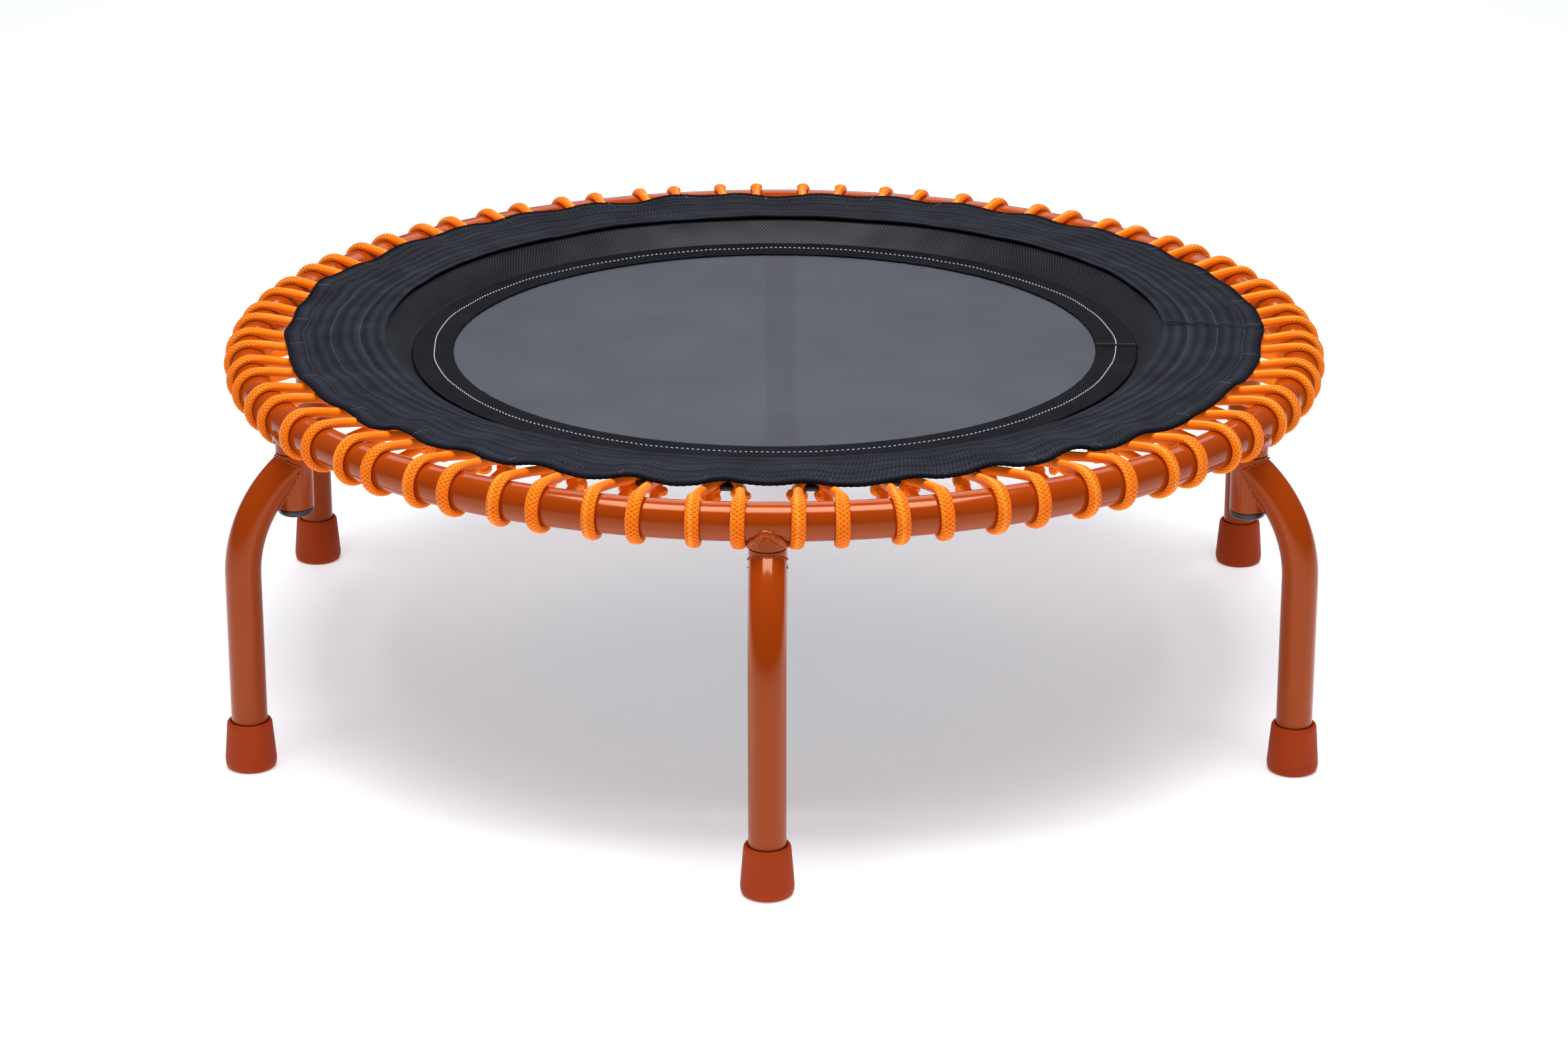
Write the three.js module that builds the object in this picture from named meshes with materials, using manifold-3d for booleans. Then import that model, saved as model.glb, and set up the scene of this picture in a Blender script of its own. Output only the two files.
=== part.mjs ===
// Mini trampoline with a round tube frame, six bolted arched legs and a mat hung on bungee cords.
// Units are millimetres, +Z is up, and the origin is on the floor under the middle of the mat.

import * as THREE from "three";
import { mergeVertices } from "three/addons/utils/BufferGeometryUtils.js";
import Module from "manifold-3d";

// Overall sizes
const frameOuterDiameter = 990;
const frameTopHeight = 323;

// Frame ring and the six posts welded under it
const frameTubeDiameter = 32.8;
const frameTubeWall = 2;
const legCount = 6;
const firstLegAzimuth = -90;
const collarLength = 5.2;
const spigotLength = 36;
const spigotClearance = 0.4;
const threadBoreDiameter = 9;
const threadBoreStop = 4;
const ventDiameter = 6;

// Legs: a sleeve over each post with an arched tube welded to its side
const sleeveDiameter = 31.8;
const sleeveWall = 1.8;
const sleeveSpare = 18.4;
const legTubeDiameter = 31.8;
const legTubeWall = 1.8;
const legGap = 20.2;
const archRadius = 113;
const weldInset = 0.4;
const archTopRise = 4.9;

// Fixing bolt with a moulded head that closes the sleeve
const boltShankDiameter = 8;
const boltHeadHeight = 6.5;
const boltHeadChamfer = 3;
const boltBossHeight = 4;
const boltThreadEngagement = 24;

// Rubber foot
const footRimWall = 3.6;
const footFlare = 3.1;
const footHeight = 44;
const footSoleThickness = 8;
const footEdge = 3.2;
const footLip = 1.5;

// Jumping surface, from the frame tube inwards
const skirtGap = 16.2;
const skirtWidth = 89;
const skirtThickness = 1.5;
const skirtFall = 3.2;
const meshWidth = 25;
const meshRise = 22;
const meshThickness = 1.2;
const meshFlange = 15;
const bandWidth = 38;
const bandThickness = 2;
const matSeamWidth = 16;
const matDrop = 16;
const matThickness = 1.5;

// Bungee cords, each with two wraps over the frame tube, and the webbing loops that they pass through
const cordCount = 36;
const cordDiameter = 7;
const cordSides = 5;
const postClearance = 3.57;
const wrapReach = 100;
const wrapSteps = 5;
const loopInset = 73.7;
const loopSideClearance = 1.75;
const webbingThickness = 2.2;
const loopClearance = 0.9;
const strapDrop = 1.3;
const strapInset = 3;
const strapLap = 5;
const loopTurn = 0.8;
const cordEndInset = 60.2;
const cordEndDrop = 13;

// Gap between touching pieces, and the number of flats on each kind of round
const gap = 0.3;
const ringSteps = 72;
const tubeSides = 12;
const boreSides = 6;
const matSides = 60;
const archSteps = 5;
const turnedSides = 12;

const paint = (color, roughness, metalness = 0) =>
  new THREE.MeshStandardMaterial({ color, roughness, metalness });

const framePaint = () => paint(0xd8601c, 0.22, 0.1);
const footRubber = () => paint(0xa8380c, 0.75);
const blackPlastic = () => paint(0x101012, 0.4);
const cordBraid = () => paint(0xf0801e, 0.65);
const matWeave = () => paint(0x45474c, 0.7);
const blackWebbing = () => paint(0x1b1c21, 0.85);
const blackMesh = () => paint(0x202126, 0.6);

const wasm = await Module();
wasm.setup();

const radians = THREE.MathUtils.degToRad;
const frameTubeRadius = frameTubeDiameter / 2;
const frameRadius = frameOuterDiameter / 2 - frameTubeRadius;
const frameLevel = frameTopHeight - frameTubeRadius;
const tubeInnerRadius = frameOuterDiameter / 2 - frameTubeDiameter;
const skirtOuterRadius = tubeInnerRadius - skirtGap;
const meshTopRadius = skirtOuterRadius - skirtWidth;
const bandOuterRadius = meshTopRadius - meshWidth;
const bandInnerRadius = bandOuterRadius - bandWidth;
const matSeamRadius = bandOuterRadius - matSeamWidth;
const loopRadius = tubeInnerRadius - loopInset;
const cordEndRadius = tubeInnerRadius - cordEndInset;
const matLevel = frameTopHeight - matDrop;
const loopLevel = matLevel;
const seamLevel = frameLevel - frameTubeRadius - collarLength;
const sleeveTop = seamLevel - gap;
const sleeveLength = legTubeDiameter + sleeveSpare;
const sleeveBottom = sleeveTop - sleeveLength;
const sleeveBore = sleeveDiameter - 2 * sleeveWall;
const spigotDiameter = sleeveBore - 2 * spigotClearance;
const legOffset = (sleeveDiameter + legTubeDiameter) / 2 + legGap;
const footRimDiameter = legTubeDiameter + 2 * footRimWall;
const footBaseDiameter = footRimDiameter + 2 * footFlare;
const legAzimuths = Array.from({ length: legCount }, (_, i) => firstLegAzimuth + (i * 360) / legCount);

/** Makes a closed mesh's triangles point outwards and joins its shared vertices. */
function closed(geometry) {
  geometry.deleteAttribute("normal");
  geometry.deleteAttribute("uv");
  const merged = mergeVertices(geometry, 1e-4);
  const index = [];
  const p = merged.attributes.position;
  const corner = (i) => new THREE.Vector3().fromBufferAttribute(p, i);
  let volume = 0;
  for (let i = 0; i < merged.index.count; i += 3) {
    const [a, b, c] = [0, 1, 2].map((k) => merged.index.getX(i + k));
    if (a === b || b === c || c === a) continue;
    index.push(a, b, c);
    volume += corner(a).dot(corner(b).cross(corner(c)));
  }
  merged.setIndex(volume > 0 ? index : index.reverse());
  return merged;
}

/** Turns a three.js geometry into a manifold solid, ready to join or cut. */
function solid(geometry) {
  const mesh = closed(geometry);
  const vertProperties = new Float32Array(mesh.attributes.position.array);
  const triVerts = new Uint32Array(mesh.index.array);
  return new wasm.Manifold(new wasm.Mesh({ numProp: 3, vertProperties, triVerts }));
}

/** Turns a manifold solid back into a three.js geometry. */
function geometryOf(manifold) {
  const mesh = manifold.getMesh();
  const geometry = new THREE.BufferGeometry();
  geometry.setAttribute("position", new THREE.BufferAttribute(new Float32Array(mesh.vertProperties), 3));
  geometry.setIndex(Array.from(mesh.triVerts));
  return geometry;
}

/** Turns an outline of [radius, height] points about the Z axis. */
function turned(outline, sides = turnedSides) {
  const points = outline.map(([r, z]) => new THREE.Vector2(r, z));
  return new THREE.LatheGeometry(points, sides).rotateX(Math.PI / 2);
}

/** A turned ring whose outline closes on itself. */
function turnedRing(outline, sides) {
  return closed(turned([...outline, outline[0]], sides));
}

/** A round bar from one height to another, on the Z axis. */
function bar(diameter, low, high, sides = turnedSides) {
  return turned([[0, low], [diameter / 2, low], [diameter / 2, high], [0, high]], sides);
}

/** A path through chosen points, which an extrusion steps along one point at a time. */
class RouteCurve extends THREE.Curve {
  constructor(points) {
    super();
    this.points = points;
  }
  at(t) {
    const along = t * (this.points.length - 1);
    const i = Math.min(Math.floor(along + 1e-9), this.points.length - 2);
    return [i, along - i];
  }
  getPoint(t) {
    const [i, share] = this.at(t);
    return this.points[i].clone().lerp(this.points[i + 1], share);
  }
  getTangent(t) {
    const last = this.points.length - 1;
    const i = Math.round(t * last);
    const before = this.points[Math.max(i - 1, 0)];
    const after = this.points[Math.min(i + 1, last)];
    const ahead = after.clone().sub(this.points[i]).normalize();
    const behind = this.points[i].clone().sub(before).normalize();
    return ahead.add(behind).normalize();
  }
  getPointAt(t) {
    return this.getPoint(t);
  }
  getTangentAt(t) {
    return this.getTangent(t);
  }
}

/** A round bar that follows a path through the points. */
function tube(points, diameter, sides) {
  const section = new THREE.Shape();
  for (let i = 0; i < sides; i++) {
    const angle = (i * 2 * Math.PI) / sides;
    const [x, y] = [Math.cos(angle), Math.sin(angle)].map((v) => (v * diameter) / 2);
    if (i === 0) section.moveTo(x, y);
    else section.lineTo(x, y);
  }
  section.closePath();
  const extrudePath = new RouteCurve(points);
  return new THREE.ExtrudeGeometry(section, { steps: points.length - 1, extrudePath, bevelEnabled: false });
}

/** A flat-sided piece with an outline in the upright plane through the Z axis, centred on azimuth 0. */
function plate(outline, hole, width) {
  const shape = new THREE.Shape(outline.map(([r, z]) => new THREE.Vector2(r, z)));
  if (hole) shape.holes.push(new THREE.Path(hole.map(([r, z]) => new THREE.Vector2(r, z))));
  const geometry = new THREE.ExtrudeGeometry(shape, { depth: width, bevelEnabled: false });
  return geometry.rotateX(Math.PI / 2).translate(0, width / 2, 0);
}

/** Turns a copy of a geometry about the Z axis. */
const turnedTo = (geometry, azimuth) => geometry.clone().rotateZ(radians(azimuth));

const trampoline = new THREE.Group();

function add(name, geometry, material, azimuth = 0) {
  const mesh = new THREE.Mesh(geometry, material);
  mesh.name = name;
  mesh.rotation.z = radians(azimuth);
  trampoline.add(mesh);
}

/** Frame: a bent tube welded into a ring, with six posts that take the legs, each vented into the tube. */
function frameRing() {
  const circle = (radius, sides) =>
    Array.from({ length: sides + 1 }, (_, i) => {
      const angle = (i * 2 * Math.PI) / sides;
      return [frameRadius + radius * Math.cos(angle), frameLevel + radius * Math.sin(angle)];
    });
  let ring = solid(turned(circle(frameTubeRadius, tubeSides), ringSteps));
  const onRing = (geometry, azimuth) =>
    solid(turnedTo(geometry.clone().translate(frameRadius, 0, 0), azimuth));
  const spigotBottom = seamLevel - spigotLength;
  const collar = bar(sleeveDiameter, seamLevel, frameLevel);
  const spigot = bar(spigotDiameter, spigotBottom, seamLevel + gap);
  for (const azimuth of legAzimuths) ring = ring.add(onRing(collar, azimuth)).add(onRing(spigot, azimuth));
  ring = ring.subtract(solid(turned(circle(frameTubeRadius - frameTubeWall, boreSides), ringSteps / 2)));
  const thread = bar(threadBoreDiameter, spigotBottom - 1, seamLevel - threadBoreStop);
  const vent = bar(ventDiameter, seamLevel - threadBoreStop - 1, frameLevel, boreSides);
  for (const azimuth of legAzimuths) {
    ring = ring.subtract(onRing(thread, azimuth)).subtract(onRing(vent, azimuth));
  }
  return geometryOf(ring);
}

/** Centreline of a leg's arched tube: up from the foot, then bent inwards until it meets the sleeve. */
function archLine(low) {
  const legRadius = frameRadius + legOffset;
  const bend = Math.acos(1 - legOffset / archRadius);
  const bendTop = sleeveTop + archTopRise - legTubeDiameter / 2;
  const bendStart = bendTop - archRadius * Math.sin(bend);
  const points = [new THREE.Vector3(legRadius, 0, low)];
  for (let i = 0; i <= archSteps; i++) {
    const angle = (bend * i) / archSteps;
    const inward = archRadius * (1 - Math.cos(angle));
    points.push(new THREE.Vector3(legRadius - inward, 0, bendStart + archRadius * Math.sin(angle)));
  }
  return points;
}

/** Leg weldment: the sleeve and the arched tube, both open, with the sleeve's wall whole. */
function leg() {
  const onPost = (geometry) => geometry.translate(frameRadius, 0, 0);
  const sleeve = solid(onPost(bar(sleeveDiameter, sleeveBottom, sleeveTop)))
    .subtract(solid(onPost(bar(sleeveBore, sleeveBottom - 1, sleeveTop + 1))));
  const innerFace = sleeveDiameter - 2 * weldInset;
  const [clearLow, clearHigh] = [sleeveBottom - legTubeDiameter, sleeveTop + legTubeDiameter];
  const clear = solid(onPost(bar(innerFace, clearLow, clearHigh)));
  const legTubeBore = legTubeDiameter - 2 * legTubeWall;
  const legBottom = footSoleThickness + gap;
  const arch = solid(tube(archLine(legBottom), legTubeDiameter, tubeSides))
    .subtract(solid(tube(archLine(legBottom - 1), legTubeBore, boreSides)))
    .subtract(clear);
  return geometryOf(arch.add(sleeve));
}

/** Fixing bolt: moulded head, boss that fits the sleeve, and shank screwed up into the post. */
function legBolt() {
  const headTop = sleeveBottom - gap;
  const bossRadius = sleeveBore / 2 - spigotClearance;
  const shankTop = seamLevel - spigotLength + boltThreadEngagement;
  const headRadius = sleeveDiameter / 2;
  return closed(turned([
    [0, headTop - boltHeadHeight],
    [headRadius - boltHeadChamfer, headTop - boltHeadHeight],
    [headRadius, headTop - boltHeadHeight + boltHeadChamfer],
    [headRadius, headTop],
    [bossRadius, headTop],
    [bossRadius, headTop + boltBossHeight],
    [boltShankDiameter / 2, headTop + boltBossHeight],
    [boltShankDiameter / 2, shankTop],
    [0, shankTop],
  ]));
}

/** Rubber foot: a tapered cap that the leg tube stands in. */
function foot() {
  const boreRadius = legTubeDiameter / 2 + gap;
  const base = footBaseDiameter / 2;
  const rim = footRimDiameter / 2;
  return closed(turned([
    [0, 0],
    [base - footEdge, 0],
    [base, footSoleThickness],
    [rim, footHeight - footLip],
    [rim - footLip, footHeight],
    [boreRadius, footHeight],
    [boreRadius, footSoleThickness],
    [0, footSoleThickness],
  ]));
}

/** A band of even thickness along an outline of [radius, height] points, turned into a ring. */
function sheetRing(line, thickness) {
  const lower = line.map(([r, z]) => [r, z - thickness / 2]);
  const upper = line.map(([r, z]) => [r, z + thickness / 2]).reverse();
  return turnedRing([...lower, ...upper], matSides);
}

const matMiddle = matLevel - matThickness / 2;
const meshTop = matLevel + meshRise - gap - meshThickness / 2;
const skirtInnerLevel = matLevel + meshRise + gap + skirtThickness / 2;

/** Mesh ring: sewn to the mat under the band, then rising to carry the skirt. */
function meshRing() {
  const slope = skirtFall / (skirtOuterRadius - meshTopRadius);
  return sheetRing([
    [matSeamRadius + gap, matMiddle],
    [bandOuterRadius + 1, matMiddle],
    [meshTopRadius, meshTop],
    [meshTopRadius + meshFlange, meshTop - slope * meshFlange],
  ], meshThickness);
}

/** Webbing ring under the skirt with one folded loop for each cord. */
function strapRing() {
  const top = meshTop - meshThickness / 2 - strapDrop;
  const low = top - webbingThickness;
  const inner = meshTopRadius + strapInset;
  const outer = meshTopRadius + meshFlange;
  const bore = cordDiameter / 2 + loopClearance;
  const wall = bore + webbingThickness;
  const corner = (size, r, z) => [loopRadius + size * r, loopLevel + size * z];
  const outline = [
    [outer - strapLap, low + gap],
    corner(wall, -1, 0.4),
    corner(wall, -1, -1),
    corner(wall, 1, -1),
    corner(wall, 1, 1),
    corner(wall, -0.2, 1),
    [outer, top - gap],
    [outer - strapLap, top - gap],
  ];
  const hole = [corner(bore, -1, -1), corner(bore, -1, 1), corner(bore, 1, 1), corner(bore, 1, -1)];
  const loopWidth = 2 * (wrapAngle() * loopRadius - loopSideClearance) - cordDiameter;
  const loop = plate(outline, hole, loopWidth);
  let straps = solid(turnedRing([[inner, low], [outer, low], [outer, top], [inner, top]], cordCount));
  for (let i = 0; i < cordCount; i++) {
    straps = straps.add(solid(turnedTo(loop, ((i + 0.5) * 360) / cordCount)));
  }
  return geometryOf(straps);
}

/** Angle from a cord's middle to each of its wraps, which keeps the wraps beside a post clear of it. */
const wrapAngle = () => {
  const pitch = (2 * Math.PI * frameRadius) / cordCount;
  return (pitch / 2 - sleeveDiameter / 2 - postClearance - cordDiameter / 2) / frameRadius;
};

/** One cord: from its lower end out round the frame tube, in through its loop, and back the same way. */
function cord() {
  const place = (radius, azimuth, height) =>
    new THREE.Vector3(radius * Math.cos(radians(azimuth)), radius * Math.sin(radians(azimuth)), height);
  const wrapStep = (2 * wrapReach) / wrapSteps;
  const wrapRadius = (frameTubeRadius + gap + cordDiameter / 2) / Math.cos(radians(wrapStep / 2));
  const half = THREE.MathUtils.radToDeg(wrapAngle());
  const wrap = (azimuth) => {
    const points = [place(cordEndRadius, azimuth, loopLevel - cordEndDrop)];
    for (let i = 0; i <= wrapSteps; i++) {
      const angle = radians(-wrapReach + i * wrapStep);
      const radius = frameRadius + wrapRadius * Math.cos(angle);
      points.push(place(radius, azimuth, frameLevel + wrapRadius * Math.sin(angle)));
    }
    points.push(place(loopRadius + cordDiameter, azimuth, loopLevel + 1));
    return points;
  };
  const turn = half * loopTurn;
  const throughLoop = [place(loopRadius, -turn, loopLevel), place(loopRadius, turn, loopLevel)];
  const points = [...wrap(-half), ...throughLoop, ...wrap(half).reverse()];
  return closed(tube(points, cordDiameter, cordSides));
}

add("frame_ring", frameRing(), framePaint());
const legShape = leg();
const boltShape = legBolt().translate(frameRadius, 0, 0);
const footShape = foot().translate(frameRadius + legOffset, 0, 0);
legAzimuths.forEach((azimuth, i) => {
  add(`leg_${i + 1}`, legShape.clone(), framePaint(), azimuth);
  add(`leg_bolt_${i + 1}`, boltShape.clone(), blackPlastic(), azimuth);
  add(`foot_${i + 1}`, footShape.clone(), footRubber(), azimuth);
});
add("jump_mat", closed(bar(2 * matSeamRadius, matLevel - matThickness, matLevel, matSides)), matWeave());
const bandMiddle = matLevel + gap + bandThickness / 2;
const bandLine = [[bandInnerRadius, bandMiddle], [bandOuterRadius, bandMiddle]];
add("edge_band", sheetRing(bandLine, bandThickness), blackWebbing());
add("mesh_ring", meshRing(), blackMesh());
const skirtLine = [[meshTopRadius, skirtInnerLevel], [skirtOuterRadius, skirtInnerLevel - skirtFall]];
add("skirt", sheetRing(skirtLine, skirtThickness), blackWebbing());
add("strap_ring", strapRing(), blackWebbing());
const cordShape = cord();
for (let i = 0; i < cordCount; i++) {
  const name = `cord_${String(i + 1).padStart(2, "0")}`;
  add(name, cordShape.clone(), cordBraid(), firstLegAzimuth + ((i + 0.5) * 360) / cordCount);
}

export default trampoline;
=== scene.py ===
"""Mini trampoline: a round tube frame on six arched legs, with a mat hung on bungee cords.

Every length is in metres, +Z is up, and the origin is on the floor under the middle of the mat.
The CAD frame is loaded first, and each visible piece is then made around it.
"""

import logging
import math
import random
from collections.abc import Callable
from dataclasses import dataclass, field
from enum import Enum

import bmesh
import bpy
import numpy as np
from mathutils import Matrix, Vector, noise

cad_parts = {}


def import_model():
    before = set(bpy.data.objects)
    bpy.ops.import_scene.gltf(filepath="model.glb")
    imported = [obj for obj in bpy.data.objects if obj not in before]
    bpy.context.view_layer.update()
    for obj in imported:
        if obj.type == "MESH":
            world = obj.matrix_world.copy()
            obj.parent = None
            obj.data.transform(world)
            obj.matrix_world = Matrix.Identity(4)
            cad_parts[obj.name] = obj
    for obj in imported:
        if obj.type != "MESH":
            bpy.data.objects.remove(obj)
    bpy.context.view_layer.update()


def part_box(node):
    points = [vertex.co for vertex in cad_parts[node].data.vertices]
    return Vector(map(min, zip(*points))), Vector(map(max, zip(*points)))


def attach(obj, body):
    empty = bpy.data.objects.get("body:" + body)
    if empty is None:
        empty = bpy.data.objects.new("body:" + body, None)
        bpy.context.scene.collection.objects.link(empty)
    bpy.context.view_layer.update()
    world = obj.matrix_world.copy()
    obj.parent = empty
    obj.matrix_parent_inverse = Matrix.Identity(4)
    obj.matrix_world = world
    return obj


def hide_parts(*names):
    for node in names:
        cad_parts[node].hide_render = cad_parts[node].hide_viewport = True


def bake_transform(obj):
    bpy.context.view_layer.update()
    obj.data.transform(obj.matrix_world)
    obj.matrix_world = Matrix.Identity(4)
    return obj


MM = 0.001
LEG_COUNT = 6
FIRST_LEG_AZIMUTH = -90.0
CORD_COUNT = 36
# How far the loops hang down on the slack front side, and the cosine where that starts and its span.
FRONT_SAG = 12 * MM
SAG_START, SAG_SPAN = 0.15, 0.6
# Distance under which vertices that should be one are merged.
MERGE = 0.001 * MM

log = logging.getLogger("trampoline")


class Body(str, Enum):
    """The two bodies of the model: what stands still, and what the jumper pushes down."""

    FRAME = "frame"
    MAT = "mat"


@dataclass(frozen=True)
class Layout:
    """Places that several sub-assemblies share, worked out from the frame's own boxes."""

    tube_radius: float
    ring_radius: float
    ring_level: float
    sleeve_top: float
    leg_axis: float
    leg_bottom: float
    mat_level: float
    mat_radius: float
    band_outer: float
    skirt_outer: float
    skirt_level: float

    @classmethod
    def from_frame(cls, tube_radius: float = 16.4 * MM, leg_tube_radius: float = 15.9 * MM) -> "Layout":
        """Reads the boxes of the frame's nodes.

        Args:
            tube_radius: outer radius of the frame ring's tube.
            leg_tube_radius: outer radius of a leg's tube.

        Returns:
            The shared places.
        """
        ring_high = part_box("frame_ring")[1]
        leg_low, leg_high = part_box("leg_1")
        mat_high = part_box("jump_mat")[1]
        skirt_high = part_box("skirt")[1]
        return cls(
            tube_radius=tube_radius,
            ring_radius=ring_high[0] - tube_radius,
            ring_level=ring_high[2] - tube_radius,
            sleeve_top=leg_high[2],
            leg_axis=-leg_low[1] - leg_tube_radius,
            leg_bottom=leg_low[2],
            mat_level=mat_high[2],
            mat_radius=mat_high[0],
            band_outer=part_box("edge_band")[1][0],
            skirt_outer=skirt_high[0],
            skirt_level=skirt_high[2],
        )


def leg_azimuths() -> list[float]:
    """Azimuth of each leg, in degrees."""
    return [FIRST_LEG_AZIMUTH + k * 360 / LEG_COUNT for k in range(LEG_COUNT)]


def cord_azimuths() -> list[float]:
    """Azimuth of the middle of each cord, in degrees."""
    return [FIRST_LEG_AZIMUTH + (k + 0.5) * 360 / CORD_COUNT for k in range(CORD_COUNT)]


def polar(radius: float, azimuth: float, height: float) -> Vector:
    """The point at a radius, an azimuth in degrees and a height."""
    angle = math.radians(azimuth)
    return Vector((radius * math.cos(angle), radius * math.sin(angle), height))


def ease(share: float) -> float:
    """Smooth step from 0 to 1."""
    t = min(max(share, 0.0), 1.0)
    return t * t * (3 - 2 * t)


def front_sag(azimuth: float) -> float:
    """How far the skirt's inner edge, the mesh and the loops hang down on the slack front side."""
    forward = math.cos(math.radians(azimuth - FIRST_LEG_AZIMUTH))
    return FRONT_SAG * ease((forward - SAG_START) / SAG_SPAN)


# ---------------------------------------------------------------- modelling helpers


def deselect() -> None:
    """Leaves edit mode and deselects every object."""
    if bpy.context.object and bpy.context.object.mode != "OBJECT":
        bpy.ops.object.mode_set(mode="OBJECT")
    bpy.ops.object.select_all(action="DESELECT")


def pick(obj: bpy.types.Object) -> bpy.types.Object:
    """Makes one object the only selected and the active one."""
    deselect()
    obj.select_set(True)
    bpy.context.view_layer.objects.active = obj
    return obj


def settle(obj: bpy.types.Object, name: str) -> bpy.types.Object:
    """Names an object and moves its place into its mesh."""
    pick(obj)
    bpy.ops.object.transform_apply(location=True, rotation=True, scale=True)
    obj.name = obj.data.name = name
    return obj


def apply(obj: bpy.types.Object, kind: str, **settings: object) -> None:
    """Adds a modifier with its settings and applies it."""
    pick(obj)
    modifier = obj.modifiers.new(kind.title(), kind)
    for key, value in settings.items():
        setattr(modifier, key, value)
    bpy.ops.object.modifier_apply(modifier=modifier.name)


def join(pieces: list[bpy.types.Object], name: str, weld: float = 0.0) -> bpy.types.Object:
    """Joins pieces into one object.

    Args:
        pieces: the objects, whose first one is kept.
        name: the name of the joined object.
        weld: distance under which vertices are merged, or 0 for none.

    Returns:
        The joined object.
    """
    deselect()
    for piece in pieces:
        piece.select_set(True)
    bpy.context.view_layer.objects.active = pieces[0]
    bpy.ops.object.join()
    if weld:
        bpy.ops.object.mode_set(mode="EDIT")
        bpy.ops.mesh.select_all(action="SELECT")
        bpy.ops.mesh.remove_doubles(threshold=weld)
        bpy.ops.object.mode_set(mode="OBJECT")
    pieces[0].name = pieces[0].data.name = name
    return pieces[0]


def close_up(obj: bpy.types.Object, merge: float = 0.0, sides: int = 0) -> bpy.types.Object:
    """Turns a mesh's faces outward, once its seam is merged or its open ends are filled.

    Args:
        obj: the object.
        merge: distance under which vertices are merged, or 0 for none.
        sides: most sides that a filled end has, or 0 for no filling.

    Returns:
        The same object.
    """
    pick(obj)
    bpy.ops.object.mode_set(mode="EDIT")
    bpy.ops.mesh.select_all(action="SELECT")
    if merge:
        bpy.ops.mesh.remove_doubles(threshold=merge)
    if sides:
        bpy.ops.mesh.fill_holes(sides=sides)
    bpy.ops.mesh.select_all(action="SELECT")
    bpy.ops.mesh.normals_make_consistent(inside=False)
    bpy.ops.object.mode_set(mode="OBJECT")
    return obj


def linked(name: str, mesh: bpy.types.Mesh) -> bpy.types.Object:
    """Makes an object of a mesh and links it to the scene."""
    obj = bpy.data.objects.new(name, mesh)
    bpy.context.collection.objects.link(obj)
    return obj


def smooth(obj: bpy.types.Object, angle: float = 40.0) -> None:
    """Shades an object smooth, with edges sharper than the angle left sharp."""
    pick(obj)
    bpy.ops.object.shade_smooth_by_angle(angle=math.radians(angle))


def turned_copy(obj: bpy.types.Object, name: str, azimuth: float) -> bpy.types.Object:
    """Copies an object, with its own mesh, turned about the Z axis by an azimuth in degrees."""
    copy = obj.copy()
    copy.data = obj.data.copy()
    copy.name = copy.data.name = name
    copy.data.transform(Matrix.Rotation(math.radians(azimuth), 4, "Z"))
    bpy.context.collection.objects.link(copy)
    return copy


def discard(obj: bpy.types.Object) -> None:
    """Removes a pattern object once its copies are made."""
    bpy.data.objects.remove(obj, do_unlink=True)


def on_each_leg(pattern: bpy.types.Object, piece: str, node: str) -> list[bpy.types.Object]:
    """Copies a pattern made at azimuth 0 to each leg, as pieces of the frame.

    Args:
        pattern: the finished pattern, which is removed.
        piece: what the copies' names start with.
        node: what the names of the nodes that they replace start with.

    Returns:
        The copies.
    """
    copies = []
    for k, azimuth in enumerate(leg_azimuths(), 1):
        copy = turned_copy(pattern, f"{piece}_{k}", azimuth)
        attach(copy, Body.FRAME.value)
        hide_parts(f"{node}_{k}")
        copies.append(copy)
    discard(pattern)
    return copies


def raised(name: str, place: Vector, outline: list[tuple[float, float]], sides: int) -> bpy.types.Object:
    """Raises a round piece from a disc by extruding its face along an outline.

    Args:
        name: the object's name.
        place: point on the axis that the outline's heights start from.
        outline: radius and height of each step, from the underside to the last face.
        sides: number of flats.

    Returns:
        The closed piece.
    """
    deselect()
    start_radius, start_height = outline[0]
    at = Vector((place.x, place.y, place.z + start_height))
    bpy.ops.mesh.primitive_circle_add(vertices=sides, radius=start_radius, fill_type="NGON", location=at)
    obj = bpy.context.object
    bpy.ops.object.mode_set(mode="EDIT")
    bpy.ops.mesh.select_mode(type="FACE")
    bpy.ops.mesh.select_all(action="SELECT")
    bpy.ops.mesh.extrude_region_move(TRANSFORM_OT_translate={"value": (0, 0, 0)})
    radius, height = start_radius, start_height
    for step, (next_radius, next_height) in enumerate(outline[1:]):
        if step:
            bpy.ops.mesh.extrude_region_move(TRANSFORM_OT_translate={"value": (0, 0, 0)})
        bpy.ops.transform.translate(value=(0, 0, next_height - height))
        scale = next_radius / radius
        centre = (place.x, place.y, place.z + next_height)
        bpy.ops.transform.resize(value=(scale, scale, 1), center_override=centre)
        radius, height = next_radius, next_height
    return settle(close_up(obj), name)


def weld_bead(name: str, spots: list[tuple[Vector, float]], voxel: float = 0.9 * MM) -> bpy.types.Object:
    """Runs lumps of filler together into one rippled bead.

    Args:
        name: the object's name.
        spots: centre and radius of each lump.
        voxel: size of the grid that the lumps are run together on.

    Returns:
        The bead.
    """
    lumps = []
    for centre, radius in spots:
        deselect()
        bpy.ops.mesh.primitive_ico_sphere_add(subdivisions=2, radius=radius, location=centre)
        lumps.append(bpy.context.object)
    bead = settle(join(lumps, name), name)
    apply(bead, "REMESH", mode="VOXEL", voxel_size=voxel)
    apply(bead, "SMOOTH", factor=0.5, iterations=3)
    smooth(bead, 80)
    return bead


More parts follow.
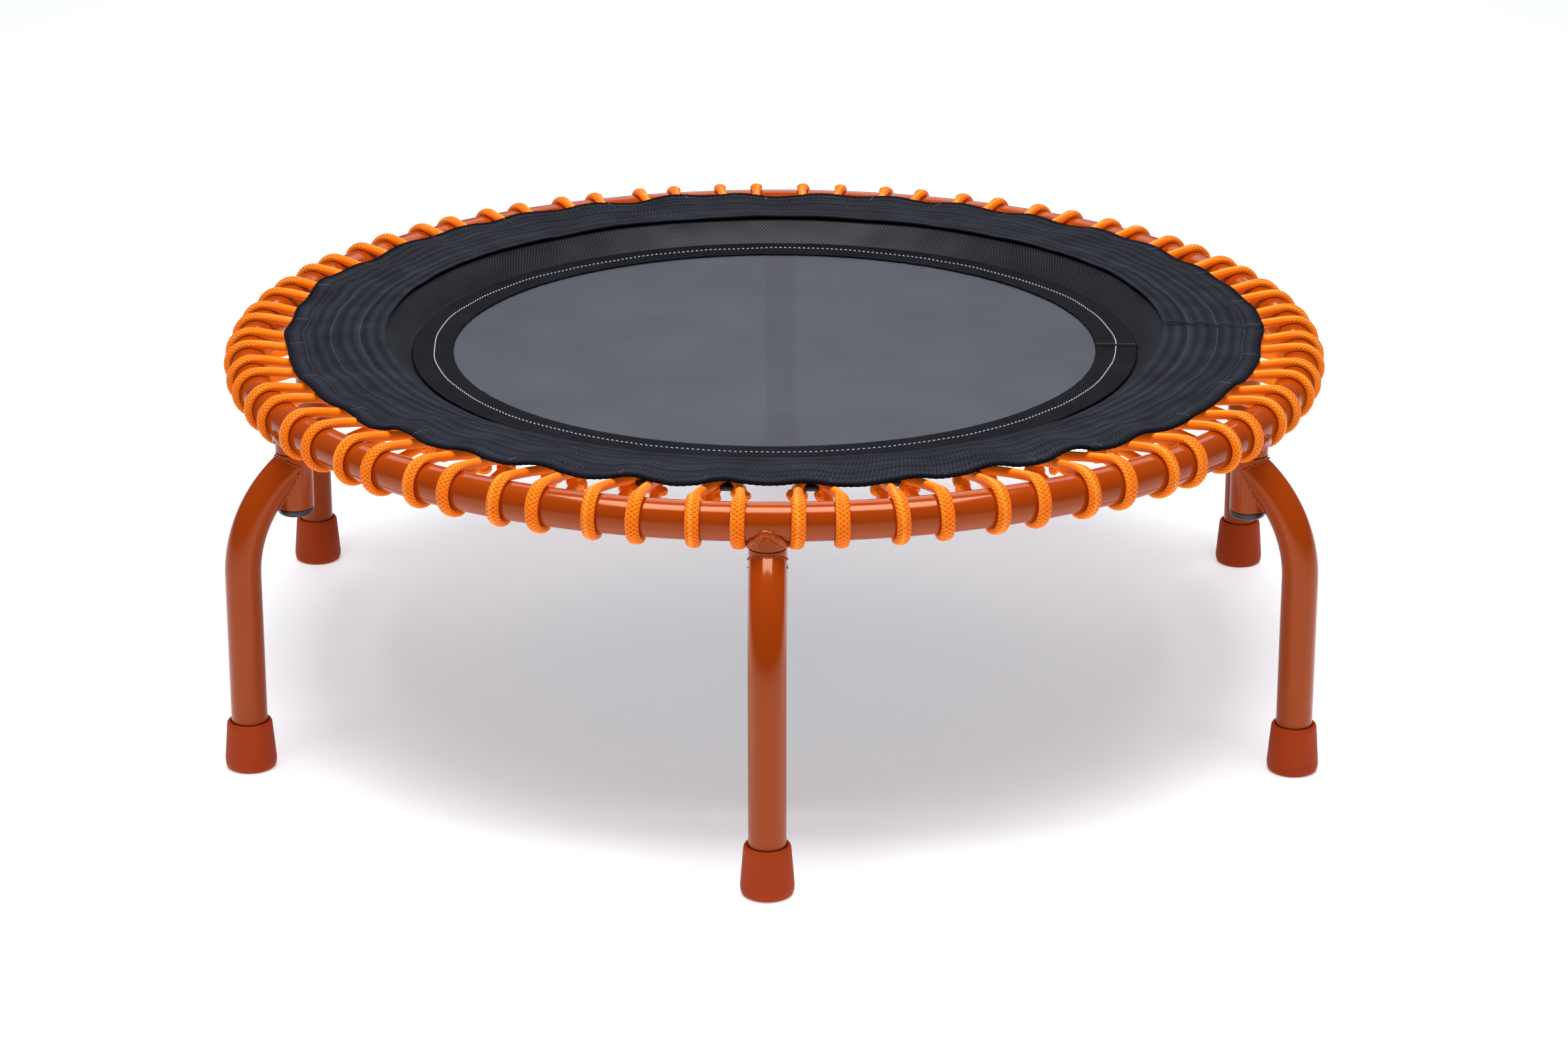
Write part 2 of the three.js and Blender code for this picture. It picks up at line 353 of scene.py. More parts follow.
def from_grid(name: str, points: np.ndarray, uvs: np.ndarray, closed: bool) -> bpy.types.Object:
    """Makes a sheet from a grid of points.

    Args:
        name: the object's name.
        points: array of rows, columns and 3 coordinates.
        uvs: array of rows, columns (one more where the columns close) and 2 coordinates, in metres.
        closed: whether the last column joins the first.

    Returns:
        The sheet, with its UV map.
    """
    rows, columns = points.shape[:2]
    steps = columns if closed else columns - 1
    faces, corners = [], []
    for i in range(rows - 1):
        for j in range(steps):
            k = (j + 1) % columns
            faces.append((i * columns + j, (i + 1) * columns + j, (i + 1) * columns + k, i * columns + k))
            corners += [uvs[i, j], uvs[i + 1, j], uvs[i + 1, j + 1], uvs[i, j + 1]]
    mesh = bpy.data.meshes.new(name)
    mesh.from_pydata(points.reshape(-1, 3).tolist(), [], faces)
    layer = mesh.uv_layers.new(name="laid")
    layer.data.foreach_set("uv", np.array(corners, dtype=np.float32).ravel())
    mesh.shade_smooth()
    return linked(name, mesh)


def swept(name: str, line: np.ndarray, across: np.ndarray, sizes: np.ndarray, sides: int,
          closed: bool = False) -> bpy.types.Object:
    """Sweeps a round or flattened section along a line.

    Args:
        name: the object's name.
        line: the centre line's points.
        across: direction of the section's width at each point.
        sizes: half width and half thickness at each point.
        sides: number of flats.
        closed: whether the line's end joins its start.

    Returns:
        The tube, with UVs in metres along it and around it, and closed ends.
    """
    count = len(line)
    tangent = np.roll(line, -1, 0) - np.roll(line, 1, 0)
    if not closed:
        tangent[0], tangent[-1] = line[1] - line[0], line[-1] - line[-2]
    tangent /= np.linalg.norm(tangent, axis=1, keepdims=True)
    wide = across - (across * tangent).sum(1, keepdims=True) * tangent
    wide /= np.linalg.norm(wide, axis=1, keepdims=True)
    thick = np.cross(tangent, wide)
    angles = np.arange(sides) * 2 * math.pi / sides
    points = (line[:, None] + np.cos(angles)[None, :, None] * (wide * sizes[:, :1])[:, None]
              + np.sin(angles)[None, :, None] * (thick * sizes[:, 1:])[:, None])
    steps = np.linalg.norm(np.diff(line, axis=0, append=line[:1]), axis=1)
    along = np.concatenate([[0], np.cumsum(steps)])
    around = np.arange(sides + 1) / sides
    rows = count + 1 if closed else count
    grid = np.concatenate([points, points[:1]]) if closed else points
    uvs = np.stack(np.broadcast_arrays(along[:rows, None], around[None]), -1)
    obj = from_grid(name, grid, uvs, True)
    close_up(obj, merge=MERGE if closed else 0.0, sides=0 if closed else sides)
    obj.data.shade_smooth()
    return obj


def blended_by_sector(obj: bpy.types.Object) -> bpy.types.Object:
    """Cuts a ring-shaped piece into sectors round the centre and joins them again.

    Args:
        obj: the finished piece, which is taken apart and joined again.

    Returns:
        The joined piece.
    """
    name, materials = obj.name, list(obj.data.materials)
    sector = 360 / CORD_COUNT
    source = obj.data
    centres = np.empty(len(source.polygons) * 3)
    source.polygons.foreach_get("center", centres)
    centres = centres.reshape(-1, 3)
    azimuths = np.degrees(np.arctan2(centres[:, 1], centres[:, 0])) % 360
    home = (azimuths // sector).astype(int)
    pieces = []
    for k in range(CORD_COUNT):
        part = bmesh.new()
        part.from_mesh(source)
        part.faces.ensure_lookup_table()
        outside = [part.faces[i] for i in np.nonzero(home != k)[0]]
        bmesh.ops.delete(part, geom=outside, context="FACES")
        if part.faces:
            mesh = bpy.data.meshes.new(f"{name}_{k}")
            part.to_mesh(mesh)
            piece = linked(mesh.name, mesh)
            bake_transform(piece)
            pieces.append(piece)
        part.free()
    discard(obj)
    whole = join(pieces, name, weld=MERGE)
    whole.data.materials.clear()
    for material in materials:
        whole.data.materials.append(material)
    return whole


# ---------------------------------------------------------------- finishes

# Numbers of the Mix node's inputs, whose names repeat.
VALUE_A, VALUE_B, COLOUR_A, COLOUR_B = 2, 3, 6, 7


def linear(code: str) -> tuple[float, float, float, float]:
    """Turns an sRGB hex colour into linear RGBA."""
    channels = [int(code[i:i + 2], 16) / 255 for i in (1, 3, 5)]
    values = [c / 12.92 if c <= 0.04045 else ((c + 0.055) / 1.055) ** 2.4 for c in channels]
    return (*values, 1.0)


def feed(node: bpy.types.Node, inputs: dict) -> None:
    """Sets a node's inputs.

    Args:
        node: the node.
        inputs: for each input, by name or number, a value, or the node or output that it is linked to.
    """
    for key, value in inputs.items():
        if isinstance(value, bpy.types.Node):
            value = next(socket for socket in value.outputs if socket.enabled)
        if isinstance(value, bpy.types.NodeSocket):
            node.id_data.links.new(value, node.inputs[key])
        else:
            node.inputs[key].default_value = value


def put(tree: bpy.types.NodeTree, kind: str, inputs: dict | None = None,
        **settings: object) -> bpy.types.Node:
    """Adds a node with its settings and links.

    Args:
        tree: the material's node tree.
        kind: the shader node's type.
        inputs: what each input is set or linked to, as feed takes it.
        settings: the node's own properties.

    Returns:
        The node.
    """
    node = tree.nodes.new(f"ShaderNode{kind}")
    for key, value in settings.items():
        setattr(node, key, value)
    feed(node, inputs or {})
    return node


def new_material(
        name: str, **shader: object) -> tuple[bpy.types.Material, bpy.types.NodeTree, bpy.types.Node]:
    """Makes a material whose tree holds one Principled shader, with values set on its sockets."""
    material = bpy.data.materials.new(name)
    material.use_nodes = True
    tree = material.node_tree
    tree.nodes.clear()
    principled = put(tree, "BsdfPrincipled", {key.replace("_", " "): v for key, v in shader.items()})
    put(tree, "OutputMaterial", {"Surface": principled})
    return material, tree, principled


def coat(principled: bpy.types.Node, tones: tuple, share: bpy.types.Node, height: bpy.types.Node,
         strength: float, depth: float) -> None:
    """Gives a shader two mixed tones and a relief.

    Args:
        principled: the shader.
        tones: the first and second tone, each a hex colour or a node.
        share: node that gives the second tone's share.
        height: node that gives the relief.
        strength: strength of the relief, from 0 to 1.
        depth: depth of the relief.
    """
    tree = principled.id_data
    first, second = (linear(tone) if isinstance(tone, str) else tone for tone in tones)
    colour = put(tree, "Mix", {"Factor": share, COLOUR_A: first, COLOUR_B: second}, data_type="RGBA")
    bump = put(tree, "Bump", {"Strength": strength, "Distance": depth, "Height": height})
    feed(principled, {"Base Color": colour, "Normal": bump})


def crossed_waves(tree: bpy.types.NodeTree, place: object, pitch: float) -> bpy.types.Node:
    """Adds two sine waves that cross, multiplied, with one pitch in both directions.

    Args:
        tree: the material's node tree.
        place: node or output that gives the coordinates.
        pitch: length of a wave.

    Returns:
        The node that gives the product, from -1 to 1.
    """
    waves = []
    for axis in put(tree, "SeparateXYZ", {0: place}).outputs[:2]:
        phase = put(tree, "Math", {0: axis, 1: 2 * math.pi / pitch}, operation="MULTIPLY")
        waves.append(put(tree, "Math", {0: phase}, operation="SINE"))
    return put(tree, "Math", {0: waves[0], 1: waves[1]}, operation="MULTIPLY")


@dataclass(frozen=True)
class PowderCoat:
    """Orange powder coat on steel tube: a thick, glossy, slightly rippled film."""

    name: str = "powder_coat_orange"
    colour: str = "#A43E06"
    shade: str = "#963604"
    glint: str = "#FFCBA4"
    glossiest: float = 0.09
    dullest: float = 0.19
    peel_size: float = 2.2 * MM
    peel_depth: float = 0.15 * MM

    def build(self) -> bpy.types.Material:
        """Makes the material: broad colour drift, and the fine ripple that a baked film has."""
        material, tree, principled = new_material(
            self.name, Roughness=0.13, IOR=1.5, Specular_IOR_Level=0.52, Specular_Tint=linear(self.glint))
        place = put(tree, "TexCoord").outputs["Object"]
        drift = put(tree, "TexNoise", {"Vector": place, "Scale": 9.0, "Detail": 3.0})
        peel = put(tree, "TexNoise", {"Vector": place, "Scale": 1 / self.peel_size, "Detail": 2.0})
        gloss = put(tree, "MapRange", {"Value": peel, "To Min": self.glossiest, "To Max": self.dullest})
        coat(principled, (self.colour, self.shade), drift, peel, 0.08, self.peel_depth)
        feed(principled, {"Roughness": gloss})
        return material


@dataclass(frozen=True)
class MouldedRubber:
    """Moulded rubber of the feet: matt, with a fine pebbled skin and uneven wear."""

    name: str = "moulded_rubber_rust"
    colour: str = "#B23E07"
    # Tone of the uneven wear, mixed in at random by noise.
    wear_and_shade: str = "#9E3405"
    smoothest: float = 0.49
    roughest: float = 0.69
    grain_size: float = 0.9 * MM
    grain_depth: float = 0.2 * MM

    def build(self) -> bpy.types.Material:
        """Makes the material: pebbled bump, drifting colour and roughness."""
        material, tree, principled = new_material(
            self.name, Roughness=0.55, IOR=1.52, Specular_IOR_Level=0.15)
        place = put(tree, "TexCoord").outputs["Object"]
        drift = put(tree, "TexNoise", {"Vector": place, "Scale": 30.0, "Detail": 4.0})
        grain = put(tree, "TexNoise", {"Vector": place, "Scale": 1 / self.grain_size, "Detail": 3.0})
        rough = put(tree, "MapRange", {"Value": drift, "To Min": self.smoothest, "To Max": self.roughest})
        coat(principled, (self.colour, self.wear_and_shade), drift, grain, 0.3, self.grain_depth)
        feed(principled, {"Roughness": rough})
        return material


@dataclass(frozen=True)
class MouldedNylon:
    """Moulded black nylon of the bolt heads and cord clips: satin, with a light spark texture."""

    name: str = "moulded_nylon_black"
    colour: str = "#101114"
    bloom: str = "#1C1D22"
    smoothest: float = 0.28
    roughest: float = 0.45
    spark_size: float = 0.7 * MM
    spark_depth: float = 0.1 * MM

    def build(self) -> bpy.types.Material:
        """Makes the material: spark texture in bump and roughness."""
        material, tree, principled = new_material(self.name, Roughness=0.33, IOR=1.53)
        place = put(tree, "TexCoord").outputs["Object"]
        spark = put(tree, "TexNoise", {"Vector": place, "Scale": 1 / self.spark_size, "Detail": 2.0})
        rough = put(tree, "MapRange", {"Value": spark, "To Min": self.smoothest, "To Max": self.roughest})
        coat(principled, (self.colour, self.bloom), spark, spark, 0.2, self.spark_depth)
        feed(principled, {"Roughness": rough})
        return material


@dataclass(frozen=True)
class BraidedPolyester:
    """Braided polyester sleeve of a bungee cord: bright, silky, with the braid's crossing yarns and a
    painted glow.

    The real braid repeats every 2.4 mm, which is finer than a render shows, so it is drawn at 3.6 mm.
    """

    name: str = "braided_polyester_orange"
    # Painted shade, for the braid's valleys.
    valley_shade: str = "#D85606"
    body: str = "#FC7E18"
    # Colour of the painted highlight streaks, also the tint of the cord's reflections.
    painted_highlight: str = "#FFAA42"
    # Strength of a painted glow: the cord emits its own colour, as if more light fell on it.
    painted_glow: float = 0.16
    braid_pitch: float = 3.6 * MM
    braid_depth: float = 0.5 * MM
    carriers: int = 6

    def build(self) -> bpy.types.Material:
        """Makes the material: crossing yarns where the cord is wrapped, streaks where it is free, painted
        shade in the braid's valleys and painted highlight streaks.
        """
        # The emission is a painted glow, not a lamp: it brightens the cord in its own colour.
        material, tree, principled = new_material(
            self.name, Roughness=0.45, IOR=1.5, Specular_IOR_Level=0.3, Specular_Tint=linear(self.painted_highlight),
            Emission_Color=linear(self.body), Emission_Strength=self.painted_glow)
        place = put(tree, "UVMap", uv_map="laid")
        axes = put(tree, "SeparateXYZ", {0: place}).outputs
        along = put(tree, "Math", {0: axes[0], 1: 2 * math.pi / self.braid_pitch}, operation="MULTIPLY")
        around = put(tree, "Math", {0: axes[1], 1: 2 * math.pi * self.carriers}, operation="MULTIPLY")
        yarns = []
        for slant in ("ADD", "SUBTRACT"):
            phase = put(tree, "Math", {0: along, 1: around}, operation=slant)
            yarns.append(put(tree, "Math", {0: phase}, operation="SINE"))
        braid = put(tree, "Math", {0: yarns[0], 1: yarns[1]}, operation="MAXIMUM")
        stretch = put(tree, "Mapping", {"Vector": place, "Scale": (14.0, 7.0, 1.0)})
        streak = put(tree, "TexNoise", {"Vector": stretch, "Scale": 1.0, "Detail": 4.0})
        laid = put(tree, "Attribute", attribute_name="wrapped").outputs["Fac"]
        height = put(tree, "Mix", {"Factor": laid, VALUE_A: streak, VALUE_B: braid})
        # Painted shade: the colour runs from the valley shade in the braid's hollows to the body colour on
        # its crests.
        shade = put(tree, "MapRange", {"Value": height, "From Min": -0.2, "From Max": 1.0})
        tones = {COLOUR_A: linear(self.valley_shade), COLOUR_B: linear(self.body)}
        low = put(tree, "Mix", {"Factor": shade, **tones}, data_type="RGBA")
        # Painted highlight: bright streaks along the cord take the highlight colour.
        gleam = put(tree, "MapRange", {"Value": streak, "From Min": 0.5, "From Max": 0.75})
        coat(principled, (low, self.painted_highlight), gleam, height, 0.9, self.braid_depth)
        return material


@dataclass(frozen=True)
class WovenPolypropylene:
    """Open woven polypropylene of the jumping mat: dark grey plain weave that lets some light through.

    The real thread spacing of 1.4 mm is finer than a render shows, so it is drawn at 2.8 mm.
    """

    name: str = "woven_polypropylene_grey"
    thread: str = "#4C4E5A"
    # Painted shade, for the gaps between the threads.
    gap_shade: str = "#0E0F13"
    thread_pitch: float = 2.8 * MM
    thread_depth: float = 0.25 * MM
    thread_turn: float = 8.0
    cloudiness: float = 0.35
    alpha: float = 0.9

    def build(self) -> bpy.types.Material:
        """Makes the material: crossing threads in colour and bump, on the piece's own coordinates, with
        painted shade between the threads.
        """
        material, tree, principled = new_material(
            self.name, Roughness=0.5, IOR=1.49, Specular_IOR_Level=0.16, Alpha=self.alpha)
        place = put(tree, "TexCoord").outputs["Object"]
        turned = put(tree, "Mapping", {"Vector": place, "Rotation": (0, 0, math.radians(self.thread_turn))})
        weave = crossed_waves(tree, turned, self.thread_pitch)
        height = put(tree, "MapRange", {"Value": weave, "From Min": -1.0, "From Max": 1.0})
        cloud = put(tree, "TexNoise", {"Vector": place, "Scale": 14.0, "Detail": 4.0})
        cloudy = put(tree, "Math", {0: cloud, 1: self.cloudiness}, operation="MULTIPLY")
        # Painted shade: the colour darkens where the weave is low, between the threads, mixed with random
        # cloudiness.
        tone = put(tree, "Math", {0: height, 1: cloudy}, operation="ADD")
        coat(principled, (self.gap_shade, self.thread), tone, height, 0.35, self.thread_depth)
        return material


@dataclass(frozen=True)
class RibbedCloth:
    """Ribbed or fuzzy polyester tape and twill, drawn on the piece's own UV map in metres."""

    name: str
    dark: str
    light: str
    rib_pitch: float
    slant: float
    fuzz: float
    depth: float = 0.9 * MM
    sheen: str = "#9AA4C0"
    wear: float = 1.8

    def build(self) -> bpy.types.Material:
        """Makes the material: ribs along the tape, a slanting twill line and a woolly nap, with painted
        shade that darkens the grooves between ribs, in random patches.
        """
        material, tree, principled = new_material(
            self.name, Roughness=0.55, IOR=1.5, Specular_IOR_Level=0.04, Sheen_Weight=0.01,
            Sheen_Roughness=0.45, Sheen_Tint=linear(self.sheen))
        place = put(tree, "UVMap", uv_map="laid")
        axes = put(tree, "SeparateXYZ", {0: place}).outputs
        turn = 2 * math.pi / self.rib_pitch
        rib_phase = put(tree, "Math", {0: axes[0], 1: turn}, operation="MULTIPLY")
        slant = put(tree, "Math", {0: axes[1], 1: turn * self.slant}, operation="MULTIPLY")
        twill_phase = put(tree, "Math", {0: rib_phase, 1: slant}, operation="ADD")
        twill = put(tree, "Math", {0: twill_phase}, operation="SINE")
        row = put(tree, "Math", {0: slant}, operation="SINE")
        cloth = put(tree, "Math", {0: twill, 1: row}, operation="ADD")
        nap = put(tree, "TexNoise", {"Vector": place, "Scale": 900.0, "Detail": 5.0})
        height = put(tree, "MapRange", {"Value": cloth, "From Min": -2.0, "From Max": 2.0})
        mixed = put(tree, "Mix", {"Factor": self.fuzz, VALUE_A: height, VALUE_B: nap})
        patches = put(tree, "TexNoise", {"Vector": place, "Scale": 25.0, "Detail": 3.0})
        broad = put(tree, "Math", {0: patches, 1: self.wear}, operation="MULTIPLY")
        # Painted shade: the tone is darker in the grooves between the ribs and in the nap, and varies in
        # random patches.
        wear_and_shade = put(tree, "Math", {0: broad, 1: mixed}, operation="MULTIPLY")
        coat(principled, (self.dark, self.light), wear_and_shade, mixed, 0.9, self.depth)
        return material


@dataclass(frozen=True)
class OpenMesh:
    """Knitted nylon mesh: shiny black yarn round open holes.

    The real holes are about 1.2 mm apart; they are drawn at 3.6 mm so that they show.
    """

    name: str = "knitted_nylon_mesh"
    yarn: str = "#34363F"
    shadow: str = "#040507"
    pitch: float = 3.6 * MM
    yarn_depth: float = 0.3 * MM
    hole_start: float = 0.35
    hole_end: float = 0.5
    hole_alpha: float = 0.88

    def build(self) -> bpy.types.Material:
        """Makes the material: staggered holes thinned by alpha, with raised yarn between them."""
        material, tree, principled = new_material(
            self.name, Roughness=0.45, IOR=1.53, Specular_IOR_Level=0.14)
        net = crossed_waves(tree, put(tree, "UVMap", uv_map="laid"), self.pitch)
        edge = put(tree, "MapRange", {"Value": net, "From Min": self.hole_start, "From Max": self.hole_end,
                                      "To Min": 1.0, "To Max": self.hole_alpha})
        crest = put(tree, "MapRange", {"Value": net, "From Min": -1.0, "From Max": 0.2})
        coat(principled, (self.yarn, self.shadow), crest, edge, 0.6, self.yarn_depth)
        feed(principled, {"Alpha": edge})
        return material


@dataclass(frozen=True)
class SpunThread:
    """Twisted polyester sewing thread, with the twist in its bump."""

    name: str
    colour: str
    dark: str
    twist_size: float = 0.8 * MM
    twist_depth: float = 0.1 * MM

    def build(self) -> bpy.types.Material:
        """Makes the material: a fine twist in colour and bump."""
        material, tree, principled = new_material(self.name, Roughness=0.6, IOR=1.5, Sheen_Weight=0.3)
        place = put(tree, "TexCoord").outputs["Object"]
        twist = put(tree, "TexNoise", {"Vector": place, "Scale": 1 / self.twist_size, "Detail": 2.0})
        coat(principled, (self.dark, self.colour), twist, twist, 0.3, self.twist_depth)
        return material


def dress(obj: bpy.types.Object, material: bpy.types.Material) -> bpy.types.Object:
    """Gives a piece one material in place of any it has."""
    obj.data.materials.clear()
    obj.data.materials.append(material)
    return obj


# ---------------------------------------------------------------- the studio


@dataclass(frozen=True)
class Softbox:
    """One rectangular softbox: its middle, turn in degrees, width and height, and power in watts."""

    name: str
    place: tuple[float, float, float]
    turn: tuple[float, float, float]
    size: tuple[float, float]
    power: float

    def build(self) -> None:
        """Adds the light."""
        data = bpy.data.lights.new(self.name, "AREA")
        data.shape = "RECTANGLE"
        data.size, data.size_y = self.size
        data.energy = self.power
        light = bpy.data.objects.new(self.name, data)
        light.location = self.place
        light.rotation_euler = [math.radians(a) for a in self.turn]
        bpy.context.collection.objects.link(light)


@dataclass(frozen=True)
class Studio:
    """Camera, pale floor and soft lights."""

    camera_place: tuple[float, float, float] = (0.0450, -3.7798, 1.4908)
    camera_tilt: float = 70.252
    camera_turn: float = 0.508
    lens: float = 99.06
    sensor_width: float = 36.0
    shift_x: float = -0.0019
    view_reach: float = 200.0
    floor_size: float = 60.0
    floor_colour: str = "#F2F2F4"
    floor_glow: str = "#F3F9FF"
    floor_glow_strength: float = 0.465
    room_colour: str = "#F2F4FA"
    room_strength: float = 0.14
    softboxes: tuple[Softbox, ...] = (
        Softbox("overhead_softbox", (0.0, -0.45, 2.5), (0, 0, 0), (2.0, 1.3), 92.0),
        Softbox("background_panel", (0.0, 5.0, 4.5), (0, 0, 0), (6.0, 4.0), 125.0),
        Softbox("back_softbox", (0.0, 5.0, 2.2), (-69, 0, 0), (0.9, 0.8), 6.0),
    )

    def build(self) -> None:
        """Makes the camera, the floor, the world and the lights."""
        self.camera()
        self.floor()
        self.world()
        for softbox in self.softboxes:
            softbox.build()

    def camera(self) -> None:
        """Places the camera."""
        data = bpy.data.cameras.new("camera")
        data.lens = self.lens
        data.sensor_width = self.sensor_width
        data.shift_x = self.shift_x
        data.clip_end = self.view_reach
        camera = bpy.data.objects.new("camera", data)
        camera.location = self.camera_place
        camera.rotation_euler = (math.radians(self.camera_tilt), 0, math.radians(self.camera_turn))
        bpy.context.collection.objects.link(camera)
        bpy.context.scene.camera = camera

    def floor(self) -> None:
        """Makes the floor, which isn't part of the object."""
        deselect()
        bpy.ops.mesh.primitive_plane_add(size=self.floor_size, location=(0, 0, 0))
        floor = settle(bpy.context.object, "studio_floor")
        material, _, _ = new_material(
            "floor_white", Base_Color=linear(self.floor_colour), Roughness=0.65, Specular_IOR_Level=0.2,
            Emission_Color=linear(self.floor_glow), Emission_Strength=self.floor_glow_strength)
        dress(floor, material)

    def world(self) -> None:
        """Fills the room with even, pale light."""
        world = bpy.data.worlds.new("room")
        world.use_nodes = True
        feed(world.node_tree.nodes["Background"],
             {"Color": linear(self.room_colour), "Strength": self.room_strength})
        scene = bpy.context.scene
        scene.world = world
        scene.view_settings.view_transform = "Standard"
        scene.view_settings.look = "None"


# ---------------------------------------------------------------- frame, legs and feet


@dataclass
class FrameRing:
    """Bent and welded tube ring, with the six collars that the legs stand against."""

    layout: Layout
    paint: bpy.types.Material
    collar_radius: float = 15.9 * MM
    seam_gap: float = 0.5 * MM
    collar_edge: float = 0.6 * MM
    collar_end: float = 2 * MM
    segments: int = 288
    sides: int = 48
    bead_radius: float = 3.7 * MM
    bead_pitch: float = 9.0
    bead_rows: int = 2
    bead_row_drop: float = 3.2 * MM
    bead_row_inset: float = 0.05

    def build(self) -> bpy.types.Object:
        """Makes the ring with its collars and weld beads, as one welded piece."""
        at = self.layout
        deselect()
        bpy.ops.mesh.primitive_torus_add(
            location=(0, 0, at.ring_level), major_segments=self.segments, minor_segments=self.sides,
            major_radius=at.ring_radius, minor_radius=at.tube_radius)
        ring = settle(bpy.context.object, "frame_ring_tube")
        smooth(ring, 60)
        collar = self.collar()
        bead = self.bead()
        pieces = [ring]
        for k, azimuth in enumerate(leg_azimuths()):
            pieces.append(turned_copy(collar, f"collar_{k}", azimuth))
            pieces.append(turned_copy(bead, f"bead_{k}", azimuth))
        discard(collar)
        discard(bead)
        whole = dress(join(pieces, "ring_weldment"), self.paint)
        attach(whole, Body.FRAME.value)
        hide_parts("frame_ring")
        return whole

    def collar(self) -> bpy.types.Object:
        """Makes one collar at azimuth 0, from the tube down to the seam with the leg."""
        at = self.layout
        foot_level = at.sleeve_top + self.seam_gap
        outline = [(self.collar_radius - self.collar_edge, 0), (self.collar_radius, self.collar_edge),
                   (self.collar_radius, at.ring_level - foot_level - self.collar_end)]
        collar = raised("collar", Vector((at.ring_radius, 0, foot_level)), outline, self.sides)
        smooth(collar, 35)
        return collar

    def bead(self) -> bpy.types.Object:
        """Makes one weld bead at azimuth 0, along the line where collar and tube meet."""
        at = self.layout
        draw = random.Random(7)
        spots = []
        for row in range(self.bead_rows):
            for step in range(int(360 / self.bead_pitch)):
                angle = math.radians(step * self.bead_pitch + row * self.bead_pitch / 2)
                radial = self.collar_radius * math.cos(angle)
                sideways = self.collar_radius * math.sin(angle)
                depth = math.sqrt(at.tube_radius ** 2 - radial ** 2)
                inset = self.bead_row_inset * row
                centre = Vector((
                    at.ring_radius + radial * (0.99 - inset) + draw.uniform(-0.5, 0.5) * MM,
                    sideways * (1.0 - inset) + draw.uniform(-0.5, 0.5) * MM,
                    at.ring_level - depth - row * self.bead_row_drop + draw.uniform(-0.7, 0.7) * MM))
                spots.append((centre, self.bead_radius * draw.uniform(0.8, 1.12) * (1 - 0.15 * row)))
        return weld_bead("collar_bead", spots)


